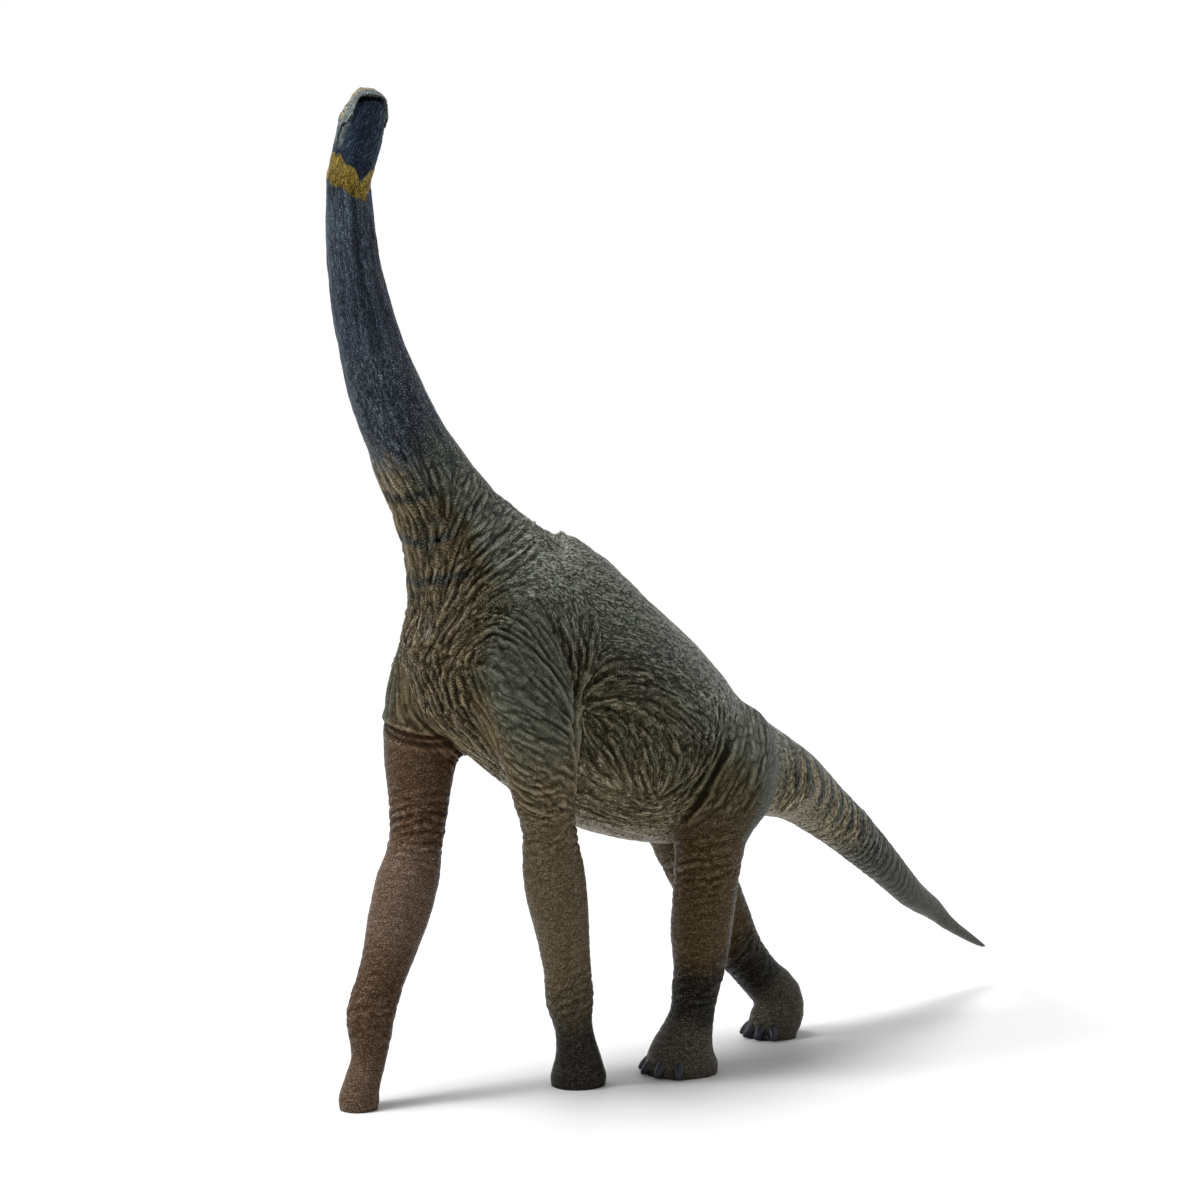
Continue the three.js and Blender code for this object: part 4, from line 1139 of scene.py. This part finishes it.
def parted(obj, names):
    """Parts a skin by its faces' numbers into named objects."""
    mesh = obj.data
    numbers = field_of(mesh.polygons, "material_index", 1, np.int32).ravel()
    mesh.materials.clear()
    for name in names:
        mesh.materials.append(bpy.data.materials.new(name))
    mesh.polygons.foreach_set("material_index", numbers)
    mesh.polygons.foreach_set("use_smooth", np.ones(len(mesh.polygons), bool))
    mesh.update()
    parts = {}
    for part in separated(obj, "MATERIAL"):
        number = part.data.polygons[0].material_index
        parts[part.data.materials[number].name.split(".")[0]] = part
    return parts


def finish_part(obj, name, finish):
    """Finishes one moulding: closed, and smooth across its seams."""
    mesh = obj.data
    close_rims(mesh)
    place_vertices(mesh, in_box(coordinates(mesh)))
    normals = field_of(mesh.attributes["skin_normal"].data, "vector", 3, np.float32)
    mesh.attributes.remove(mesh.attributes["skin_normal"])
    mesh.normals_split_custom_set_from_vertices(normals.tolist())
    mesh.materials.clear()
    mesh.materials.append(finish)
    mesh.polygons.foreach_set("material_index", np.zeros(len(mesh.polygons), np.int32))
    mesh.update()
    obj.name = name
    mesh.name = name


class DINO_OT_hide(bpy.types.Operator):
    """Sculpt the folded, scaly hide over the fused mouldings and part it at their seams"""
    bl_idname = "dino.hide"
    bl_label = "Hide"

    def execute(self, context):
        sizes, paint = context.scene.dino_sizes, context.scene.dino_paint
        names = list(MOULDINGS) + ["head", "lower_jaw"]
        obj = fused("skin", names, 0.5 * MM, sizes.weave)
        mesh = obj.data
        points = coordinates(mesh)
        edges = edges_of(mesh)
        points -= normals_of(mesh) * 0.5
        flat = points[:, 2] < 0.8
        # Fillets the creases where the limbs meet the trunk, then evens the facets
        place = limb_places(points)
        joint = (1 - np.abs(place["leg_share"] * 2 - 1)) * ramp(60, 80, points[:, 2])
        joint = np.maximum(joint, 0.7 * (points[:, 2] > 85) * place["leg_share"])
        for _ in range(10):
            joint = neighbour_mean(joint[:, None], edges)[:, 0]
        for _ in range(26):
            points += (neighbour_mean(points, edges) - points) * (0.6 * joint)[:, None]
        even_out(points, edges, 10)
        points[:, 2] = np.where(flat, 0, points[:, 2])
        place_vertices(mesh, points)
        share_out(mesh, names)
        mesh = subdivided(obj)
        points, normals = coordinates(mesh), normals_of(mesh)
        skin = BVHTree.FromObject(obj, context.evaluated_depsgraph_get())
        dress(mesh, points, normals, skin, sizes, paint)
        parts = parted(obj, names)
        body = painted_vinyl(
            "painted soft vinyl body", sizes.scale / MM, 0.9, 0.7, 0.7, "#8f8d80")
        neck = painted_vinyl(
            "painted soft vinyl neck", sizes.neck_scale / MM, 0.8, 0.7, 0.25, "#2e4055")
        for name, part in parts.items():
            if name not in MOULDINGS:
                bpy.data.objects.remove(part)
                continue
            finish_part(part, "hide_" + name, neck if name == "neck_upper" else body)
            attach(part, "figure")
            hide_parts(name)
        return {"FINISHED"}


# ---------------------------------------------------------------- head

def head_places(points):
    """The points in the head's own frame."""
    return (points - HEAD_PLACE) @ HEAD_AXES.T


def head_point(ahead, left, up):
    """A place in the head's own frame, given in the figure's."""
    return HEAD_PLACE + HEAD_AXES.T @ np.array([ahead, left, up])


def jaw_top(ahead):
    """Height of the lower jaw's upper edge, in front of its hinge."""
    return -0.86 - np.clip(ahead - 6.6, 0, 30) * 0.097


def profile_distance(first, second, line):
    """Each point's distance to a line drawn in two of its measures."""
    return line_distance(np.stack([first, second], 1), np.array(line))[0]


def collar(points):
    """The ochre band's share at each point of the neck and head."""
    heights = body_axis.centres[:, 2]
    near = np.clip(np.searchsorted(heights, points[:, 2]), 0, len(heights) - 1)
    away = points - body_axis.centres[near]
    around = np.degrees(np.arctan2(away @ HEAD_AXES[1], away[:, 1] * 0.98 + away[:, 0] * 0.19))
    waver = 0.9 * noise(points, 2.2, 81)
    top = np.interp(around, *zip(*COLLAR_TOP)) + waver
    foot = np.interp(around, *zip(*COLLAR_FOOT)) + waver
    z = points[:, 2]
    return ramp(foot - 0.4, foot + 0.4, z) * ramp(top + 0.4, top - 0.4, z) * (points[:, 0] > 150)


def head_relief(points, own):
    """The head's brow, eye rims, lips, nostrils and throat wrinkles, in mm."""
    ahead, side, crown = own[:, 0], np.abs(own[:, 1]), own[:, 2]
    height = np.zeros(len(points))
    eye = np.linalg.norm((own * (1, 0, 1) - np.array(EYE_PLACE) * (1, 0, 1)), axis=1)
    flank = ramp(2.5, 4.5, side)
    lid = 0.2 * np.exp(-((eye - 1.75) / 0.38) ** 2)
    height += flank * (lid - 0.9 * np.exp(-(eye / 1.25) ** 4))
    brow = profile_distance(ahead, crown, [(9.0, 3.6), (12.5, 5.0), (15.5, 4.2), (18.5, 2.6)])
    height += flank * 0.35 * np.exp(-(brow / 0.8) ** 2)
    snout = profile_distance(ahead, side, [(14, 3.4), (17.5, 3.0), (21, 2.2)])
    height += ramp(1, 2.5, crown) * 0.3 * np.exp(-(snout / 0.7) ** 2)
    nostril = profile_distance(ahead, side, [(16.8, 1.5), (18.2, 1.9)])
    height -= ramp(1, 2, crown) * 0.55 * np.exp(-(nostril / 0.55) ** 2)
    # A crease that carries the mouth line back over the cheek
    cheek = profile_distance(ahead, crown, CHEEK_LINE)
    height -= ramp(3, 5, side) * 0.4 * np.exp(-(cheek / 0.45) ** 2)
    # Streaky wrinkles along the throat
    throat = ramp(-0.6, -2.2, crown)
    lengthwise = np.tile(HEAD_AXES[0] + 0.25 * HEAD_AXES[1], (len(points), 1))
    streak = streaks(points, lengthwise, 1.5, 4, 83)
    thin_streaks = streaks(points, lengthwise, 0.8, 2, 84)
    height += (0.04 + 0.13 * throat) * streak + (0.03 + 0.06 * throat) * thin_streaks
    height += 0.08 * clouds(points, 2.4, 85)
    ripple = lengthwise * (0.4 + 0.9 * throat)[:, None]
    return height * seam_fade(points), ripple, 0.75 - 0.35 * throat


def head_paint(points, own, paint):
    """The hand-painted colour of each point of the head."""
    ahead, side, crown = own[:, 0], np.abs(own[:, 1]), own[:, 2]
    soft = clouds(points, 5, 87)
    colours = np.tile(np.array(paint.neck, float), (len(points), 1))
    light = 0.35 + 0.5 * ramp(2, 5.5, side + soft) + 0.3 * soft
    colours = blended(colours, paint.head_light, light)
    half_width = np.interp(ahead, *HEAD_WIDTHS)
    lip = ramp(9, 11, ahead) * ramp(0.8, 0.88, side / half_width) + ramp(20.7, 21.2, ahead)
    grey = np.maximum(ramp(-1.6, -0.4, crown) * ramp(6, 10, ahead), lip.clip(0, 1))
    cheek = 0.7 * ramp(-4.4, -2.4, crown + 0.6 * soft) * ramp(1, 4, ahead) * ramp(3, 5, side)
    grey = np.maximum(grey, cheek)
    colours = blended(colours, paint.cheek, 0.9 * grey)
    line = profile_distance(ahead, crown, CHEEK_LINE)
    colours = blended(colours, paint.neck, 0.95 * ramp(0.65, 0.3, line) * (side > 3))
    top = np.interp(ahead, (15.5, 18, 20, 22), (2.2, 1.2, 0.7, 0.8))
    away = np.abs(crown - top) + 0.4 * noise(points, 1.4, 89)
    gold = ramp(15.5, 17, ahead) * ramp(1.4, 0.7, away)
    colours = blended(colours, paint.ridge, 0.9 * gold)
    for spot in ((12.1, 0.6), (11.1, 1.3)):
        away = np.hypot(ahead - spot[0], crown - spot[1])
        colours = blended(colours, paint.eye, ramp(0.9, 0.5, away) * (side > 3))
    return blended(colours, paint.band, 0.95 * collar(points))


def in_mouth(own, normals):
    """Where the skin faces into the mouth."""
    facing = normals @ HEAD_AXES[2]
    near = (own[:, 0] > 8.4) & (own[:, 2] < -0.35) & (own[:, 2] > -4.4)
    return near & (np.abs(facing) > 0.72)


def shaped_head(points):
    """Brow and cheeks stand out, the upper lip hangs over the lower jaw, and the lower jaw
    is narrower and shorter than the snout."""
    own = head_places(points)
    ahead, side, crown = own[:, 0].copy(), own[:, 1].copy(), own[:, 2].copy()
    half_width = np.interp(ahead, *HEAD_WIDTHS)
    share = np.abs(side) / half_width
    jaw = (crown < jaw_top(ahead)) & (ahead > 9)
    rim = ramp(0.62, 0.9, share) + ramp(20.6, 21.4, ahead)
    drop = np.interp(ahead, (8, 11, 15, 20, 21.5, 22.3), (0, 2.2, 3.7, 3.5, 2.9, 2.4))
    own[:, 2] -= np.where(jaw, 0, drop * rim.clip(0, 1) * ramp(3.4, -0.6, crown))
    tuck = 1 - 0.13 * ramp(9.5, 13, ahead)
    own[:, 1] *= np.where(jaw, tuck, 1)
    own[:, 0] = np.where(jaw & (ahead > 13), 13 + (ahead - 13) * 0.84, own[:, 0])
    eye = np.hypot(ahead - EYE_PLACE[0], crown - EYE_PLACE[2])
    bulge = 0.5 * np.exp(-(eye / 3.2) ** 2) * ~jaw * ramp(0.6, 0.9, share)
    own[:, 1] += np.sign(side) * bulge
    return HEAD_PLACE + own @ HEAD_AXES


class DINO_OT_head(bpy.types.Operator):
    """Sculpt the head, the lower jaw and the throat skin that joins them"""
    bl_idname = "dino.head"
    bl_label = "Head"

    def execute(self, context):
        sizes, paint = context.scene.dino_sizes, context.scene.dino_paint
        obj = fused(
            "head skin", ["head", "lower_jaw", "neck_upper"], 0.15 * MM, sizes.head_weave,
            throat_filler)
        mesh = obj.data
        # Only the head's end of the neck is kept
        work = bmesh.new()
        work.from_mesh(mesh)
        bmesh.ops.bisect_plane(
            work, geom=work.verts[:] + work.edges[:] + work.faces[:],
            plane_co=(Vector(HEAD_SEAM) - 1.2 * Vector(HEAD_SEAM_WAY)) * MM,
            plane_no=Vector(HEAD_SEAM_WAY), clear_inner=True)
        work.to_mesh(mesh)
        work.free()
        points = coordinates(mesh) - normals_of(mesh) * 0.15
        even_out(points, edges_of(mesh), 7)
        place_vertices(mesh, points)
        own = head_places(np.array([face.center for face in mesh.polygons]) / MM)
        ahead, crown = own[:, 0], own[:, 2]
        below = crown < np.where(ahead > 9.8, jaw_top(ahead), -1.4 - 0.15 * (9.8 - ahead))
        numbers = np.where(~below | (ahead < 3.5), 0, np.where(ahead > 10.4, 1, 2))
        even_seams(mesh, numbers)
        place_vertices(mesh, shaped_head(coordinates(mesh)))
        mesh = subdivided(obj)
        points, normals = coordinates(mesh), normals_of(mesh)
        own = head_places(points)
        height, ripple, scaly = head_relief(points, own)
        inside = in_mouth(own, normals)
        height = np.where(inside, -0.1, height)
        # The last of the neck's skin lies just under the neck's own moulding
        height = np.where(past_seam(points) < 0, -0.12, height)
        colours = head_paint(points, own, paint)
        # The inside of the mouth is painted near-black as painted shade; teeth are pale touches of
        # the brush at its front
        teeth = ramp(0.3, 0.9, np.sin(own[:, 1] * 5.5)) * ramp(17.5, 18.5, own[:, 0])
        dark = np.tile(linear("#121217"), (len(own), 1))
        mouth = blended(dark, linear("#8d8f88"), 0.2 * teeth)
        colours = np.where(inside[:, None], mouth, colours)
        place_vertices(mesh, in_box(points + normals * height[:, None]))
        # Inside the mouth the tone is held low, which darkens it further as painted shade
        tone = np.where(inside, -0.6, cavities(mesh, height))
        write_skin(mesh, colours, tone, ripple, scaly, np.where(inside, 0.2, 0.75))
        parts = parted(obj, ["head", "lower_jaw", "throat_skin"])
        finish = painted_vinyl("painted soft vinyl head", 0.8, 0.8, 0.5, 0.3, "#8b9499")
        for name, part in parts.items():
            finish_part(part, "skin_" + name if name == "throat_skin" else "hide_" + name, finish)
        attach(parts["head"], "figure")
        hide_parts("head")
        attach(parts["lower_jaw"], "jaw")
        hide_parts("lower_jaw")
        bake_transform(parts["throat_skin"])
        return {"FINISHED"}


def throat_filler(work):
    """A lump under the throat skin that closes the gap behind the lower jaw."""
    shape = Matrix.Diagonal((3.3 * MM, 6.9 * MM, 6.9 * MM, 1))
    turn = Matrix(HEAD_AXES.T.tolist()).to_4x4()
    place = Matrix.Translation(Vector(head_point(9.9, 0, -0.8)) * MM)
    bmesh.ops.create_uvsphere(
        work, u_segments=32, v_segments=20, radius=1, matrix=place @ turn @ shape)


def eye_glass(name, centre, outward):
    """Enamel eye under clear varnish: a dark rim, a pale yellow iris and a black pupil."""
    material, tree = new_material(name)
    centre, outward = tuple(centre), tuple(outward)
    away = vector_sums(tree, "SUBTRACT", object_places(tree), centre)
    depth = vector_sums(tree, "DOT_PRODUCT", away, outward)
    along = vector_sums(tree, "SCALE", outward, scale=depth)
    radius = vector_sums(tree, "LENGTH", vector_sums(tree, "SUBTRACT", away, along))
    share = sums(tree, "DIVIDE", radius, IRIS_REACH * MM)
    bands = add(tree, "ShaderNodeValToRGB", {}, {"Fac": share})
    rings = bands.color_ramp.elements
    rings[0].position, rings[0].color = 0.0, (*linear("#0b0b0c"), 1)
    rings[1].position, rings[1].color = 1.0, (*linear("#101014"), 1)
    for position, code in EYE_RINGS:
        rings.new(position).color = (*linear(code), 1)
    finish_material(tree, {
        "Base Color": bands.outputs["Color"], "Roughness": 0.2, "Coat Weight": 0.8,
        "Coat Roughness": 0.06})
    return material


class DINO_OT_eyes(bpy.types.Operator):
    """Set a varnished eye into each side of the head"""
    bl_idname = "dino.eyes"
    bl_label = "Eyes"

    def execute(self, context):
        for side, name in ((LEFT, "left"), (RIGHT, "right")):
            ahead, out, crown = EYE_PLACE
            centre = head_point(ahead, side * (out - 1.0), crown - 0.45)
            outward = HEAD_AXES.T @ np.array([0.35, side, -0.6])
            outward /= np.linalg.norm(outward)
            work = bmesh.new()
            bmesh.ops.create_uvsphere(
                work, u_segments=36, v_segments=24, radius=EYE_RADIUS * MM,
                matrix=Matrix.Translation(Vector(centre) * MM))
            obj = object_from(work, "eye_" + name, True)
            glass = eye_glass("enamelled eye " + name, centre * MM, outward)
            obj.data.materials.append(glass)
            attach(obj, "figure")
        return {"FINISHED"}


class DINO_OT_claws(bpy.types.Operator):
    """Set the short blunt claws round the front of the hind feet"""
    bl_idname = "dino.claws"
    bl_label = "Claws"

    def execute(self, context):
        paint = context.scene.dino_paint
        # Gloss acrylic over vinyl: blue-black, paler where the brush skipped the ridge
        material, tree = new_material("glossed claw acrylic")
        mix = add(tree, "ShaderNodeMix", {"data_type": "RGBA"}, {
            "Factor": grain(tree, object_places(tree), 900.0, 3),
            6: (*paint.claw, 1), 7: (*paint.claw_light, 1)})
        finish_material(tree, {
            "Base Color": mix.outputs[2], "Roughness": 0.38, "Specular IOR Level": 0.25})
        for name, (x, y, wide, reach, side) in HIND_FEET.items():
            work = bmesh.new()
            for degrees in CLAW_ANGLES:
                angle = math.radians(degrees)
                root = Vector((
                    x + math.cos(angle) * reach * 0.93, y + side * math.sin(angle) * wide * 0.93,
                    3.4))
                way = Vector((math.cos(angle), side * math.sin(angle), -0.3)).normalized()
                turn = way.to_track_quat("X", "Z").to_matrix().to_4x4()
                shape = Matrix.Diagonal((*CLAW_HALF_SIZES, 1))
                made = bmesh.ops.create_uvsphere(
                    work, u_segments=24, v_segments=16, radius=MM,
                    matrix=Matrix.Translation(root * MM) @ turn @ shape)["verts"]
                # Narrows and curves each claw towards its tip
                long = CLAW_HALF_SIZES[0]
                for vertex in made:
                    tip = max(0.0, (vertex.co - root * MM).dot(way) / (long * MM))
                    middle = root * MM + way * tip * long * MM
                    vertex.co -= (vertex.co - middle) * 0.35 * tip
                    vertex.co.z -= tip * tip * 0.9 * MM
                    vertex.co.z = max(vertex.co.z, 0.1 * MM)
            obj = object_from(work, "claws_" + name, True)
            obj.data.materials.append(material)
            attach(obj, "figure")
        return {"FINISHED"}


class DINO_OT_wires(bpy.types.Operator):
    """Give the stiffening rods and the jaw pin their metal"""
    bl_idname = "dino.wires"
    bl_label = "Rods and pin"

    def execute(self, context):
        # Drawn steel wire: its shine varies finely, from the die
        material, tree = new_material("drawn steel wire")
        lines = grain(tree, object_places(tree), 2500.0, 2)
        finish_material(tree, {
            "Base Color": (*linear("#9a9ea3"), 1), "Metallic": 1.0,
            "Roughness": map_range(tree, lines, 0.0, 1.0, 0.25, 0.45)})
        for name in ("neck_core_rod", "tail_core_rod", "jaw_pin"):
            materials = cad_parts[name].data.materials
            materials.clear()
            materials.append(material)
        return {"FINISHED"}


class DINO_OT_stage(bpy.types.Operator):
    """Set up the pale tabletop, soft light and camera"""
    bl_idname = "dino.stage"
    bl_label = "Stage"

    def execute(self, context):
        scene = context.scene
        stage = scene.dino_stage
        work = bmesh.new()
        bmesh.ops.create_grid(work, x_segments=1, y_segments=1, size=stage.floor_size / 2)
        floor = object_from(work, "tabletop")
        # Matt white laminate, which shows the shadows
        material, tree = new_material("white laminate tabletop")
        finish_material(tree, {"Base Color": (*stage.floor, 1), "Roughness": 0.6})
        floor.data.materials.append(material)

        world = bpy.data.worlds.new("white room")
        world.use_nodes = True
        tree = world.node_tree
        tree.nodes.clear()
        path = add(tree, "ShaderNodeLightPath")
        seen = path.outputs["Is Camera Ray"]
        for other in ("Is Glossy Ray", "Is Transmission Ray"):
            seen = sums(tree, "MAXIMUM", seen, path.outputs[other])
        lit, shown = (
            add(tree, "ShaderNodeBackground", {}, {"Color": (1, 1, 1, 1), "Strength": strength})
            for strength in (ROOM_LIGHT, 1.0))
        mixed = add(tree, "ShaderNodeMixShader", {}, {
            0: seen, 1: lit.outputs[0], 2: shown.outputs[0]})
        add(tree, "ShaderNodeOutputWorld", {}, {"Surface": mixed.outputs[0]})
        scene.world = world
        scene.view_settings.view_transform = "Standard"

        # Broad, far-off softboxes, which light the whole tabletop evenly
        for name, towards, spread, power in SOFTBOXES:
            lamp = bpy.data.lights.new(name, "SUN")
            lamp.angle = math.radians(spread)
            lamp.energy = power
            obj = new_object(name, lamp)
            obj.rotation_euler = Vector(towards).to_track_quat("Z", "Y").to_euler()

        # The photograph's view: the left front of the animal, at the height of its belly
        camera = bpy.data.cameras.new("camera")
        camera.sensor_width = 36
        camera.lens = 36 * FOCAL_LENGTH / PHOTO_SIDE
        camera.shift_y = SHIFT / PHOTO_SIDE
        camera.clip_start = 0.01
        obj = new_object("camera", camera)
        obj.location = CAMERA_PLACE
        obj.rotation_euler = Vector(CAMERA_WAY).to_track_quat("-Z", "Y").to_euler()
        scene.camera = obj
        return {"FINISHED"}


class DINO_PT_panel(bpy.types.Panel):
    """Lists the steps that make the figure"""
    bl_label = "Toy Dinosaur"
    bl_idname = "DINO_PT_panel"
    bl_space_type = "VIEW_3D"
    bl_region_type = "UI"
    bl_category = "Dinosaur"

    def draw(self, context):
        for group in ("dino_sizes", "dino_paint", "dino_stage"):
            settings = getattr(context.scene, group)
            for key in settings.bl_rna.properties.keys():
                if key not in ("rna_type", "name"):
                    self.layout.prop(settings, key)
        for step in STEPS:
            self.layout.operator(step.bl_idname)


SETTINGS = {"dino_sizes": HideSizes, "dino_paint": PaintColours, "dino_stage": StageSettings}
STEPS = [DINO_OT_stage, DINO_OT_hide, DINO_OT_head, DINO_OT_eyes, DINO_OT_claws, DINO_OT_wires]


def register():
    for made in (*SETTINGS.values(), *STEPS, DINO_PT_panel):
        bpy.utils.register_class(made)
    for name, group in SETTINGS.items():
        setattr(bpy.types.Scene, name, bpy.props.PointerProperty(type=group))


def unregister():
    for name in SETTINGS:
        delattr(bpy.types.Scene, name)
    for made in (DINO_PT_panel, *reversed(STEPS), *SETTINGS.values()):
        bpy.utils.unregister_class(made)


def main():
    register()
    for step in STEPS:
        group, name = step.bl_idname.split(".")
        getattr(getattr(bpy.ops, group), name)()


if __name__ == "__main__":
    main()
